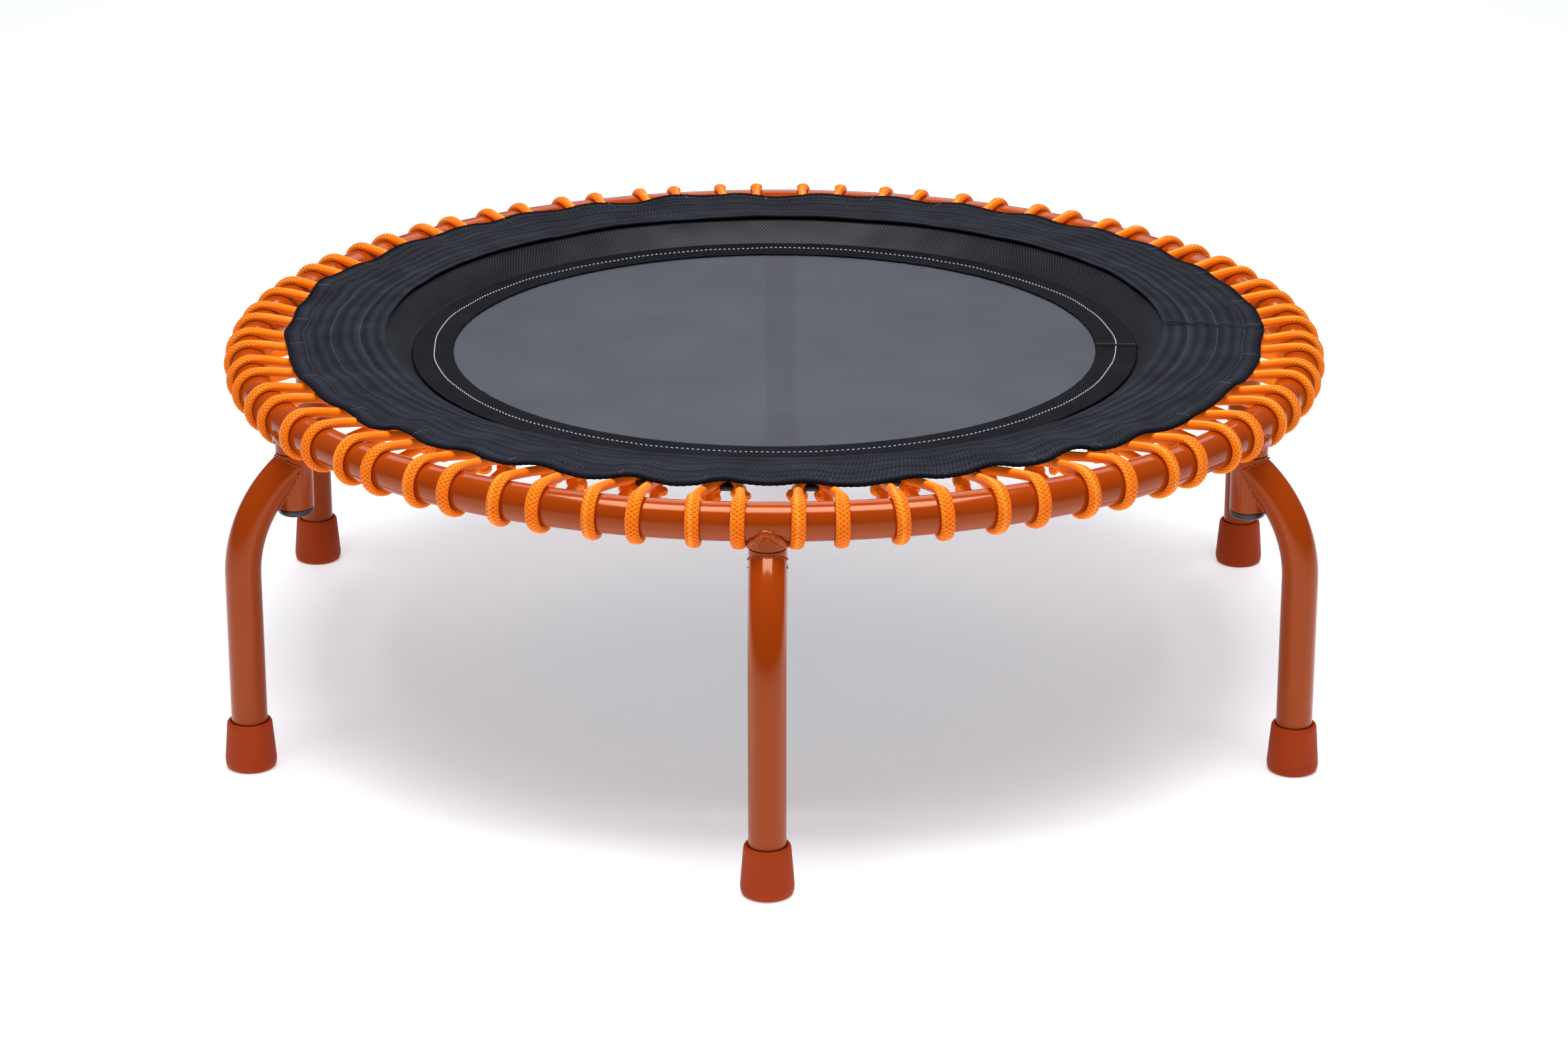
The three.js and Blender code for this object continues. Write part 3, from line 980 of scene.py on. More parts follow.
@dataclass
class Leg:
    """Leg weldment: a sleeve over the post, and an arched tube welded to its outer side."""

    layout: Layout
    paint: bpy.types.Material
    tube_radius: float = 15.9 * MM
    wall: float = 1.8 * MM
    sleeve_length: float = 50.2 * MM
    arch_radius: float = 113 * MM
    arch_top_rise: float = 4.9 * MM
    bead_radius: float = 1.3 * MM
    sides: int = 48
    arch_steps: int = 30
    seam_points: int = 64
    seam_trials: int = 400
    seam_start: float = 0.3
    seam_span: float = 0.9

    @property
    def bend(self) -> float:
        """Angle of the arch, in radians."""
        return math.acos(1 - (self.layout.leg_axis - self.layout.ring_radius) / self.arch_radius)

    @property
    def bend_start(self) -> float:
        """Height where the straight tube starts to bend."""
        top = self.layout.sleeve_top + self.arch_top_rise - self.tube_radius
        return top - self.arch_radius * math.sin(self.bend)

    def build(self) -> list[bpy.types.Object]:
        """Makes the six legs, each a copy of one pattern turned to its post."""
        pattern = join([self.arch(), self.sleeve(), self.bead()], "leg_pattern")
        return on_each_leg(dress(pattern, self.paint), "leg_weldment", "leg")

    def arch(self) -> bpy.types.Object:
        """Makes the tube: a circle raised straight up, spun over to the sleeve and cut to its side."""
        at = self.layout
        deselect()
        bpy.ops.mesh.primitive_circle_add(
            vertices=self.sides, radius=self.tube_radius, fill_type="NOTHING",
            location=(at.leg_axis, 0, at.leg_bottom))
        arch = bpy.context.object
        bpy.ops.object.mode_set(mode="EDIT")
        bpy.ops.mesh.select_all(action="SELECT")
        rise = self.bend_start - at.leg_bottom
        bpy.ops.mesh.extrude_edges_move(TRANSFORM_OT_translate={"value": (0, 0, rise)})
        bpy.ops.mesh.spin(
            steps=self.arch_steps, angle=self.bend, axis=(0, 1, 0),
            center=(at.leg_axis - self.arch_radius, 0, self.bend_start))
        settle(close_up(arch, merge=MERGE, sides=self.sides), "arch")
        deselect()
        bpy.ops.mesh.primitive_cylinder_add(
            vertices=self.sides, radius=self.tube_radius - self.wall / 2, depth=4 * self.sleeve_length,
            location=(at.ring_radius, 0, at.sleeve_top))
        cutter = bpy.context.object
        apply(arch, "BOOLEAN", operation="DIFFERENCE", solver="EXACT", object=cutter)
        discard(cutter)
        smooth(arch, 45)
        return arch

    def sleeve(self) -> bpy.types.Object:
        """Makes the sleeve: an open cylinder with a wall and softened rims."""
        at = self.layout
        deselect()
        bpy.ops.mesh.primitive_cylinder_add(
            vertices=self.sides, radius=self.tube_radius, depth=self.sleeve_length, end_fill_type="NOTHING",
            location=(at.ring_radius, 0, at.sleeve_top - self.sleeve_length / 2))
        sleeve = settle(bpy.context.object, "sleeve")
        apply(sleeve, "SOLIDIFY", thickness=self.wall, offset=-1)
        apply(sleeve, "BEVEL", width=0.5 * MM, segments=3, limit_method="ANGLE")
        smooth(sleeve, 35)
        return sleeve

    def seam(self) -> list[Vector]:
        """Points of the line where the arch's outside meets the sleeve's outside."""
        at = self.layout
        centre = Vector((at.leg_axis - self.arch_radius, 0, self.bend_start))
        points = []
        for step in range(self.seam_points):
            turn = 2 * math.pi * step / self.seam_points
            for trial in range(self.seam_trials):
                angle = self.bend * (self.seam_start + self.seam_span * trial / self.seam_trials)
                outward = Vector((math.cos(angle), 0, math.sin(angle)))
                spot = (centre + outward * (self.arch_radius + self.tube_radius * math.cos(turn))
                        + Vector((0, self.tube_radius * math.sin(turn), 0)))
                if math.hypot(spot.x - at.ring_radius, spot.y) <= self.tube_radius:
                    points.append(spot)
                    break
        return points

    def bead(self) -> bpy.types.Object:
        """Makes the weld bead along that line, heavier in the corner under the arch."""
        draw = random.Random(11)
        points = self.seam()
        low, high = min(p.z for p in points), max(p.z for p in points)
        spots = []
        for point in points:
            under = 1 - (point.z - low) / (high - low)
            radius = self.bead_radius * (1 + 0.5 * under) * draw.uniform(0.75, 1.15)
            jitter = Vector([draw.uniform(-0.5, 0.5) * MM for _ in range(3)])
            spots.append((point + jitter, radius))
        return weld_bead("arch_bead", spots, voxel=0.8 * MM)


@dataclass
class BoltHead:
    """Moulded head of each leg's fixing bolt, which closes the sleeve from below."""

    layout: Layout
    plastic: bpy.types.Material
    radius: float = 15.8 * MM
    height: float = 6.5 * MM
    dish_radius: float = 8.5 * MM
    dish_depth: float = 1.4 * MM
    sides: int = 56

    def build(self) -> list[bpy.types.Object]:
        """Makes the six heads."""
        foot = Vector((self.layout.ring_radius, 0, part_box("leg_bolt_1")[0][2]))
        outline = [(self.dish_radius * 0.9, self.dish_depth), (self.dish_radius, 0.3 * MM),
                   (self.dish_radius + 1.2 * MM, 0), (self.radius - 2.6 * MM, 0.4 * MM),
                   (self.radius - 0.9 * MM, 1.6 * MM), (self.radius, 3.4 * MM), (self.radius, self.height)]
        pattern = raised("bolt_head", foot, outline, self.sides)
        apply(pattern, "BEVEL", width=0.4 * MM, segments=3, limit_method="ANGLE",
              angle_limit=math.radians(50))
        smooth(pattern, 40)
        return on_each_leg(dress(pattern, self.plastic), "bolt_head", "leg_bolt")


@dataclass
class Foot:
    """Tapered rubber foot that a leg tube stands in."""

    layout: Layout
    rubber: bpy.types.Material
    sole_radius: float = 19.6 * MM
    base_radius: float = 22.6 * MM
    rim_radius: float = 19.6 * MM
    bore_radius: float = 16.3 * MM
    height: float = 44 * MM
    sides: int = 64

    def build(self) -> list[bpy.types.Object]:
        """Makes the six feet."""
        outline = [
            (self.sole_radius - 7 * MM, 0.8 * MM), (self.sole_radius - 6 * MM, 0), (self.sole_radius, 0),
            (self.sole_radius + 1.6 * MM, 1.0 * MM), (self.base_radius - 0.3 * MM, 4 * MM),
            (self.base_radius, 8 * MM), (self.rim_radius + 0.4 * MM, self.height - 4 * MM),
            (self.rim_radius, self.height - 1.6 * MM), (self.rim_radius - 0.8 * MM, self.height - 0.3 * MM),
            (self.rim_radius - 1.8 * MM, self.height),
            (self.bore_radius + 0.3 * MM, self.height - 0.5 * MM),
            (self.bore_radius, self.height - 2 * MM), (self.bore_radius, self.height - 12 * MM)]
        pattern = raised("foot_pattern", Vector((self.layout.leg_axis, 0, 0)), outline, self.sides)
        smooth(pattern, 50)
        return on_each_leg(dress(pattern, self.rubber), "rubber_foot", "foot")


# ---------------------------------------------------------------- cords


@dataclass
class BungeeCords:
    """The bungee cords, each with two wraps over the tube, a turn through its loop and two knots."""

    layout: Layout
    braid: bpy.types.Material
    free_radius: float = 4.2 * MM
    wrap_half_width: float = 6.0 * MM
    wrap_half_thickness: float = 3.4 * MM
    wrap_offset: float = 18.8 * MM
    knot_offset: float = 12.0 * MM
    knot_radius_at: float = 405 * MM
    knot_level: float = 304 * MM
    loop_radius: float = 388.5 * MM
    loop_level: float = 308 * MM
    loop_offset: float = 6.5 * MM
    wrap_inset: float = 12 * MM
    wrap_span: float = 14 * MM
    wrap_end: int = 98
    wrap_step: int = 14
    most_lean: float = 2.6 * MM
    most_shift: float = 0.9 * MM
    step: float = 2.2 * MM
    sides: int = 14
    knot_size: float = 2.0 * MM
    knot_points: int = 72
    knot_sides: int = 10
    lengths: list[float] = field(default_factory=list)

    def build(self) -> list[bpy.types.Object]:
        """Makes every cord, each at its own azimuth."""
        cords = []
        for k, azimuth in enumerate(cord_azimuths(), 1):
            draw = random.Random(100 + k)
            cord = self.cord(f"bungee_{k:02d}", azimuth, draw)
            dress(cord, self.braid)
            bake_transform(cord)
            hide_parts(f"cord_{k:02d}")
            cords.append(cord)
        return cords

    def half_route(self, side: int, draw: random.Random) -> list[tuple[float, float, float]]:
        """Route of half a cord, as radius, sideways distance and height.

        Args:
            side: 1 or -1, for the side of the cord's middle that this half lies on.
            draw: source of the cord's small irregularities.

        Returns:
            Points from the knot, round the tube and in to the loop.
        """
        at = self.layout
        lean = draw.uniform(-1, 1) * self.most_lean
        shift = draw.uniform(-1, 1) * self.most_shift
        wrap = at.tube_radius + self.wrap_half_thickness - 0.1 * MM
        knot = side * self.knot_offset
        outer = side * self.wrap_offset + shift
        points = [(self.knot_radius_at, knot, self.knot_level),
                  (self.knot_radius_at + 9 * MM, knot * 1.06, self.knot_level - 1.8 * MM)]
        for degrees in range(-self.wrap_end, self.wrap_end + 1, self.wrap_step):
            angle = math.radians(degrees)
            share = (degrees + self.wrap_end) / (2 * self.wrap_end)
            points.append((at.ring_radius + wrap * math.cos(angle), outer + lean * (share - 0.5),
                           at.ring_level + wrap * math.sin(angle)))
        top = points[-1]
        for share in (0.35, 0.62, 0.85):
            points.append((top[0] + (self.loop_radius + 6 * MM - top[0]) * share,
                           top[1] + (side * self.loop_offset * 1.5 - top[1]) * share,
                           top[2] + (self.loop_level + 1.5 * MM - top[2]) * share ** 1.15))
        points.append((self.loop_radius, side * self.loop_offset * 0.75, self.loop_level))
        return points

    def cord(self, name: str, azimuth: float, draw: random.Random) -> bpy.types.Object:
        """Makes one cord with its knots.

        Args:
            name: the piece's name.
            azimuth: azimuth of the cord's middle, in degrees.
            draw: source of the cord's small irregularities.

        Returns:
            The cord.
        """
        one, other = self.half_route(1, draw), self.half_route(-1, draw)
        route = np.array(one + other[::-1])
        dense = self.smooth_line(route)
        along = np.arange(0, dense[-1, 3], self.step)
        r, s, z = (np.interp(along, dense[:, 3], dense[:, i]) for i in range(3))
        self.lengths.append(float(along[-1]))
        angle = math.radians(azimuth) + s / r
        line = np.stack([r * np.cos(angle), r * np.sin(angle), z], 1)
        sideways = np.stack([-np.sin(angle), np.cos(angle), np.zeros_like(angle)], 1)
        radial = np.stack([np.cos(angle), np.sin(angle), np.zeros_like(angle)], 1)
        # The section's width turns from sideways to radial where the cord turns through its loop.
        near_loop = np.clip(1 - np.abs(r - self.loop_radius) / (9 * MM), 0, 1)[:, None]
        side = np.where((np.arange(len(s)) < len(s) / 2)[:, None], 1.0, -1.0)
        turned = (sideways * (1 - near_loop) - radial * near_loop * side) * side
        flat_start = self.layout.ring_radius - self.wrap_inset
        wrapped = np.array([ease((radius - flat_start) / self.wrap_span) for radius in r])
        half_width = self.free_radius + (self.wrap_half_width - self.free_radius) * wrapped
        half_thick = self.free_radius + (self.wrap_half_thickness - self.free_radius) * wrapped
        cord = swept(name, line, turned, np.stack([half_width, half_thick], 1), self.sides)
        self.mark_wrapped(cord, np.repeat(wrapped, self.sides))
        knots = [self.knot(f"{name}_knot_{i}", Vector(line[end]), draw) for i, end in enumerate((0, -1))]
        return join([cord, *knots], name)

    @staticmethod
    def smooth_line(route: np.ndarray) -> np.ndarray:
        """Rounds a route's corners, and adds each point's distance along it as a fourth column."""
        line = route
        for _ in range(4):
            before = 0.75 * line[:-1] + 0.25 * line[1:]
            after = 0.25 * line[:-1] + 0.75 * line[1:]
            inner = np.stack([before, after], 1).reshape(-1, 3)
            line = np.concatenate([line[:1], inner[1:-1], line[-1:]])
        steps = np.linalg.norm(np.diff(line, axis=0), axis=1)
        return np.column_stack([line, np.concatenate([[0], np.cumsum(steps)])])

    def knot(self, name: str, place: Vector, draw: random.Random) -> bpy.types.Object:
        """Makes an overhand knot, drawn tight.

        Args:
            name: the knot's name.
            place: its middle.
            draw: source of its turn.

        Returns:
            The knot.
        """
        count = self.knot_points
        t = np.arange(count) * 2 * math.pi / count
        # A trefoil, which is what an overhand knot is.
        local = np.stack([
            np.sin(t) + 2 * np.sin(2 * t), np.cos(t) - 2 * np.cos(2 * t), -1.5 * np.sin(3 * t)], 1)
        local *= self.knot_size
        turn = Matrix.Rotation(draw.uniform(0, 2 * math.pi), 3, "Z") @ Matrix.Rotation(
            math.radians(draw.uniform(55, 100)), 3, "Y")
        turn = Matrix.Rotation(draw.uniform(0, 2 * math.pi), 3, "Z") @ turn
        line = local @ np.array(turn).T + np.array(place)
        across = np.tile(np.array(turn @ Vector((0, 0, 1))), (count, 1))
        sizes = np.full((count, 2), self.free_radius * 0.95)
        knot = swept(name, line, across, sizes, self.knot_sides, closed=True)
        self.mark_wrapped(knot, np.empty(0))
        return knot

    @staticmethod
    def mark_wrapped(obj: bpy.types.Object, shares: np.ndarray) -> None:
        """Stores how far each vertex is wrapped, from 0 to 1, and 1 past the shares given."""
        values = np.ones(len(obj.data.vertices))
        values[:len(shares)] = shares
        obj.data.attributes.new("wrapped", "FLOAT", "POINT").data.foreach_set("value", values)


# ---------------------------------------------------------------- the mat assembly


def wave(azimuth: float, lobes: list[tuple[float, float, float]]) -> float:
    """Sum of sine lobes round the ring.

    Args:
        azimuth: azimuth in degrees.
        lobes: count, size and phase of each lobe.

    Returns:
        The sum, in the lobes' unit.
    """
    return sum(size * math.sin(math.radians(azimuth * count + phase)) for count, size, phase in lobes)


# Gives the true radius and height for a nominal radius and an azimuth in degrees.
Surface = Callable[[float, float], tuple[float, float]]


@dataclass
class Cloth:
    """Base of the ring-shaped cloth pieces: a profile of radii swept round the centre line."""

    layout: Layout

    @staticmethod
    def ring(name: str, radii: list[float], steps: int, shape: Surface) -> bpy.types.Object:
        """Makes a ring-shaped sheet.

        Args:
            name: the piece's name.
            radii: nominal radius of each row, from the inside out.
            steps: number of steps round the ring.
            shape: gives the true radius and height for a nominal radius and an azimuth in degrees.

        Returns:
            The sheet, with UVs in metres round the ring and across it.
        """
        azimuths = np.arange(steps) * 360 / steps
        points = np.empty((len(radii), steps, 3))
        for i, radius in enumerate(radii):
            for j, azimuth in enumerate(azimuths):
                true_radius, height = shape(radius, azimuth)
                points[i, j] = polar(true_radius, azimuth, height)
        middle = (radii[0] + radii[-1]) / 2
        round_it = np.radians(np.append(azimuths, 360.0)) * middle
        across = np.array(radii) - radii[0]
        uvs = np.stack(np.broadcast_arrays(round_it[None], across[:, None]), -1)
        return from_grid(name, points, uvs, True)


def spaced(low: float, high: float, count: int) -> list[float]:
    """Evenly spaced values from low to high, both included."""
    return [low + (high - low) * i / (count - 1) for i in range(count)]


def lap_share(azimuth: float, start: float, angle: float) -> float:
    """How far a lapped end stands up at an azimuth: 1 at its start, falling to 0 over an angle."""
    away = (azimuth - start + 180) % 360 - 180
    return max(0.0, 1 - away / angle) if away >= 0 else 0.0


def thread_row(name: str, ends: list[tuple[Vector, Vector]], radius: float,
               lift: float) -> bpy.types.Object:
    """Makes a row of stitches, each a short thread that dips into the cloth at both ends.

    Args:
        name: the row's name.
        ends: the two ends of each stitch, on the cloth.
        radius: radius of the thread.
        lift: height of a stitch's middle above the cloth.

    Returns:
        The row, with UVs.
    """
    sides, shares = 5, (0.0, 0.22, 0.5, 0.78, 1.0)
    widths = (0.35, 0.9, 1.0, 0.9, 0.35)
    vertices, faces = [], []
    up = Vector((0, 0, 1))
    for start, stop in ends:
        base = len(vertices)
        ahead = (stop - start).normalized()
        across = ahead.cross(up).normalized()
        for share, width in zip(shares, widths):
            rise = lift * math.sin(math.pi * share) - radius * 0.4
            centre = start.lerp(stop, share) + up * rise
            for side in range(sides):
                angle = 2 * math.pi * side / sides
                vertices.append(centre + (across * math.cos(angle) + up * math.sin(angle)) * radius * width)
        for row in range(len(shares) - 1):
            for side in range(sides):
                a, b = base + row * sides + side, base + row * sides + (side + 1) % sides
                faces.append((a, b, b + sides, a + sides))
        faces.append(tuple(base + side for side in reversed(range(sides))))
        faces.append(tuple(base + (len(shares) - 1) * sides + side for side in range(sides)))
    mesh = bpy.data.meshes.new(name)
    mesh.from_pydata(vertices, [], faces)
    mesh.shade_smooth()
    return close_up(linked(name, mesh))


@dataclass
class JumpMat(Cloth):
    """Round woven mat, stretched flat, with the faint unevenness of cloth under tension."""

    weave: bpy.types.Material
    thickness: float = 1.1 * MM
    ripple: float = 0.35 * MM
    fine_ripple: float = 0.12 * MM
    calm_radius: float = 280 * MM
    calm_span: float = 30 * MM

    def build(self) -> bpy.types.Object:
        """Makes the mat as a disc of rings, with a wall."""
        at = self.layout
        rows = spaced(0.0, at.mat_radius, 30)
        mat = join([self.ring("woven_mat", rows, 144, self.surface)], "woven_mat", weld=MERGE)
        apply(mat, "SOLIDIFY", thickness=self.thickness, offset=-1)
        smooth(mat, 40)
        dress(mat, self.weave)
        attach(mat, Body.MAT.value)
        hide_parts("jump_mat")
        return mat

    def surface(self, radius: float, azimuth: float) -> tuple[float, float]:
        """Radius and height of the mat's upper face."""
        spot = polar(radius, azimuth, 0)
        ripple = noise.noise(spot * 9) * self.ripple + noise.noise(spot * 30) * self.fine_ripple
        calm = ease((radius - self.calm_radius) / self.calm_span)
        return radius, self.layout.mat_level + ripple * (1 - calm)


@dataclass
class EdgeBand(Cloth):
    """Brushed webbing sewn over the mat's edge, with a white stitch line and a lapped joint."""

    webbing: bpy.types.Material
    white_thread: bpy.types.Material
    black_thread: bpy.types.Material
    width: float = 38 * MM
    thickness: float = 1.6 * MM
    rib_count: int = 9
    rib_height: float = 0.28 * MM
    seat: float = 0.3 * MM
    fray: float = 0.8 * MM
    wander: float = 1.0 * MM
    nap: float = 0.22 * MM
    edge_drop: float = 0.5 * MM
    lap_azimuth: float = -1.5
    lap_angle: float = 4.0
    lap_height: float = 2.0 * MM
    stitch_radius: float = 312 * MM
    stitch_pitch: float = 4.6 * MM
    stitch_length: float = 2.7 * MM
    thread_radius: float = 0.55 * MM
    thread_lift: float = 0.9 * MM
    tack_count: int = 24
    tack_turn: float = 0.28
    tack_reach: float = 0.7 * MM

    def build(self) -> list[bpy.types.Object]:
        """Makes the band and its stitches."""
        at = self.layout
        inner = at.band_outer - self.width
        band = self.ring("webbing_band", spaced(inner, at.band_outer, 37), 1080, self.surface)
        apply(band, "SOLIDIFY", thickness=self.thickness, offset=-1)
        dress(band, self.webbing)
        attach(band, Body.MAT.value)
        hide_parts("edge_band")
        white = dress(self.stitch_line(), self.white_thread)
        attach(white, Body.MAT.value)
        tack = dress(self.lap_tack(), self.black_thread)
        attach(tack, Body.MAT.value)
        return [band, white, tack]

    def surface(self, radius: float, azimuth: float) -> tuple[float, float]:
        """Radius and height of the band's upper face: ribs, a woolly edge and the lap."""
        at = self.layout
        share = (radius - (at.band_outer - self.width)) / self.width
        edge = 1 if share < 0.01 or share > 0.99 else 0
        spot = polar(radius, azimuth, 0)
        fray = edge * noise.noise(spot * 260) * self.fray
        drift = noise.noise(polar(0.3, azimuth, 0.5) * 7) * self.wander
        ribs = math.sin(math.pi * self.rib_count * share) ** 2 * self.rib_height
        nap = noise.noise(spot * 320) * self.nap
        lap = lap_share(azimuth, self.lap_azimuth, self.lap_angle) * self.lap_height
        top = at.mat_level + self.seat + self.thickness
        return radius + fray + drift, top + ribs + nap + lap - self.edge_drop * edge

    def stitch_line(self) -> bpy.types.Object:
        """Makes the white stitches, which wander a little from a true circle."""
        count = int(2 * math.pi * self.stitch_radius / self.stitch_pitch)
        half = math.degrees(self.stitch_length / self.stitch_radius) / 2
        ends = []
        for k in range(count):
            azimuth = k * 360 / count
            wander = wave(azimuth, [(5, 0.9 * MM, 20), (13, 0.5 * MM, 80), (29, 0.3 * MM, 5)])
            radius = self.stitch_radius + wander
            height = self.surface(radius, azimuth)[1]
            ends.append((polar(radius, azimuth - half, height), polar(radius, azimuth + half, height)))
        return thread_row("band_stitches", ends, self.thread_radius, self.thread_lift)

    def lap_tack(self) -> bpy.types.Object:
        """Makes the zigzag that holds the lapped end down."""
        at = self.layout
        ends = []
        azimuth = self.lap_azimuth + 0.5
        for k in range(self.tack_count):
            radius = at.band_outer - self.width + (k + 0.5) * self.width / self.tack_count
            turn = self.tack_turn if k % 2 else -self.tack_turn
            height = self.surface(radius, azimuth)[1]
            ends.append((polar(radius - self.tack_reach, azimuth - turn, height),
                         polar(radius + self.tack_reach, azimuth + turn, height)))
        return thread_row("band_lap_tack", ends, 0.4 * MM, 0.5 * MM)


@dataclass
class MeshRing(Cloth):
    """Knitted mesh between the mat and the skirt, sewn under the band and rising to the skirt."""

    mesh: bpy.types.Material
    rise: float = 21.5 * MM
    width: float = 25 * MM
    flange: float = 14 * MM
    seam_width: float = 14 * MM
    thickness: float = 0.8 * MM
    seat: float = 0.9 * MM
    flange_slope: float = 3.2 / 89

    def build(self) -> bpy.types.Object:
        """Makes the mesh ring."""
        at = self.layout
        inner = at.band_outer - self.seam_width
        outer = at.band_outer + self.width + self.flange
        ring = self.ring("knitted_mesh", spaced(inner, outer, 26), 720, self.surface)
        apply(ring, "SOLIDIFY", thickness=self.thickness, offset=-1)
        dress(ring, self.mesh)
        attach(ring, Body.MAT.value)
        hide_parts("mesh_ring")
        return ring

    def surface(self, radius: float, azimuth: float) -> tuple[float, float]:
        """Radius and height of the mesh's upper face: flat, then rising with small gathers."""
        at = self.layout
        share = (radius - at.band_outer) / self.width
        climb = min(max(share, 0.0), 1.0)
        gather = wave(azimuth, [(18, 0.5, 10), (41, 0.35, 60), (7, 0.7, 120)]) * MM
        level = at.mat_level - self.seat + (self.rise - front_sag(azimuth)) * climb ** 0.9
        fall = self.flange_slope * max(radius - at.band_outer - self.width, 0.0)
        return radius, level - fall + gather * math.sin(math.pi * climb)


@dataclass
class Skirt(Cloth):
    """Ribbed twill skirt that covers the loops, with a rolled hem and three stitch lines."""

    twill: bpy.types.Material
    thread: bpy.types.Material
    inner: float = 354 * MM
    thickness: float = 1.3 * MM
    fall: float = 3.6 * MM
    stitch_lines: tuple[float, ...] = (429 * MM, 404 * MM, 378 * MM)
    seam_azimuth: float = -1.0
    seam_angle: float = 5.0
    seam_height: float = 2.6 * MM
    hem_radius: float = 1.9 * MM
    hem_pitch: float = 3.0 * MM
    hem_inset: float = 1.5 * MM
    hem_count: int = 1440
    pucker_depth: float = 1.5 * MM
    pucker_width: float = 2.6 * MM
    crease: float = 1.1 * MM
    fine_crease: float = 0.45 * MM
    stitch_pitch: float = 5.2 * MM
    stitch_length: float = 3.8 * MM
    thread_radius: float = 0.45 * MM
    thread_lift: float = 0.5 * MM
    steps: int = 1080

    def build(self) -> list[bpy.types.Object]:
        """Makes the skirt, its hem and its stitches, each cut into sectors and joined again."""
        at = self.layout
        rows = spaced(self.inner, at.skirt_outer - self.hem_inset, 32)
        skirt = self.ring("twill_skirt", rows, self.steps, self.surface)
        apply(skirt, "SOLIDIFY", thickness=self.thickness, offset=-1)
        dress(skirt, self.twill)
        hem = dress(self.hem(), self.twill)
        threads = dress(self.stitches(), self.thread)
        skirt, hem, threads = (
            blended_by_sector(piece) for piece in (skirt, hem, threads))
        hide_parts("skirt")
        for piece in (skirt, hem, threads):
            smooth(piece, 60)
        return [skirt, hem, threads]

    def surface(self, radius: float, azimuth: float) -> tuple[float, float]:
        """Radius and height of the skirt's upper face: waves, puckers at the stitches, and the lap."""
        at = self.layout
        share = (radius - self.inner) / (at.skirt_outer - self.inner)
        spot = polar(radius, azimuth, 0)
        height = at.skirt_level + 0.4 * MM - self.fall * share - front_sag(azimuth) * (1 - share) ** 3
        height += self.ripple(azimuth, share)
        for line in self.stitch_lines:
            height -= self.pucker_depth * math.exp(-((radius - line) / self.pucker_width) ** 2)
        height += noise.noise(spot * 22) * self.crease + noise.noise(spot * 55) * self.fine_crease
        height += lap_share(azimuth, self.seam_azimuth, self.seam_angle) * self.seam_height
        inward = noise.noise(polar(0.4, azimuth, 0.3) * 6) * 2.2 * MM
        edge = (self.scallop(azimuth) + inward) * ease((share - 0.45) / 0.55)
        inner_edge = noise.noise(polar(0.35, azimuth, 0.9) * 9) * 2.0 * MM * (1 - share)
        return radius + edge + inner_edge, height

    def ripple(self, azimuth: float, share: float) -> float:
        """Height of the waves: lifted over each strand, slack between the cords."""
        strand = math.cos(math.radians((azimuth - FIRST_LEG_AZIMUTH - 5) * CORD_COUNT))
        loose = 0.5 + 0.5 * noise.noise(polar(0.4, azimuth, 0) * 5)
        folds = wave(azimuth, [(11, 1.5, 40), (17, 1.2, 200), (23, 1.0, 310)])
        slack = 1 + 0.9 * front_sag(azimuth) / FRONT_SAG
        lift = (strand * (0.8 + 1.4 * loose) + folds * loose) * MM
        return (lift * slack if lift > 0 else lift) * ease(share) - 0.2 * MM

    def scallop(self, azimuth: float) -> float:
        """How far the hem stands in or out between the cords."""
        return wave(azimuth, [(18, 1.1, 30), (31, 0.9, 150), (9, 1.1, 75)]) * MM

    def hem(self) -> bpy.types.Object:
        """Makes the rolled hem, whipped over with thread."""
        at = self.layout
        count = self.hem_count
        line = np.empty((count, 3))
        for k in range(count):
            azimuth = k * 360 / count
            radius, height = self.surface(at.skirt_outer - self.hem_inset, azimuth)
            line[k] = polar(radius, azimuth, height - self.thickness * 0.6)
        along = np.arange(count) * 2 * math.pi * at.skirt_outer / count
        lumps = 1 + 0.12 * np.sin(2 * math.pi * along / self.hem_pitch)
        sizes = np.stack([lumps, lumps], 1) * self.hem_radius
        across = np.tile((0.0, 0.0, 1.0), (count, 1))
        return swept("rolled_hem", line, across, sizes, 10, closed=True)

    def stitches(self) -> bpy.types.Object:
        """Makes the three stitch lines, the bar tacks at the hem and the seam's own stitches."""
        ends = []
        for line in self.stitch_lines:
            count = int(2 * math.pi * line / self.stitch_pitch)
            half = math.degrees(self.stitch_length / line) / 2
            for k in range(count):
                ends.append(self.stitch(line, k * 360 / count, half))
        draw = random.Random(3)
        azimuth = 0.0
        while azimuth < 355:
            ends += self.bar_tack(azimuth)
            azimuth += draw.uniform(9, 15)
        for k in range(28):
            radius = self.inner + (k + 0.5) * 2.6 * MM
            ends.append(self.stitch(radius, self.seam_azimuth + 0.35, 0.0, 1.0 * MM))
        return thread_row("skirt_stitches", ends, self.thread_radius, self.thread_lift)

    def stitch(self, radius: float, azimuth: float, half: float,
               reach: float = 0.0) -> tuple[Vector, Vector]:
        """Ends of one stitch on the skirt, along the ring by half an angle or across it by a reach."""
        points = []
        for side in (-1, 1):
            spot_radius, spot_azimuth = radius + side * reach, azimuth + side * half
            true_radius, height = self.surface(spot_radius, spot_azimuth)
            points.append(polar(true_radius, spot_azimuth, height))
        return points[0], points[1]

    def bar_tack(self, azimuth: float) -> list[tuple[Vector, Vector]]:
        """Stitches of one bar tack: short and close, across the hem."""
        at = self.layout
        return [self.stitch(at.skirt_outer - 3 * MM - k * 1.3 * MM, azimuth + 0.04 * (k % 2), 0.16)
                for k in range(10)]


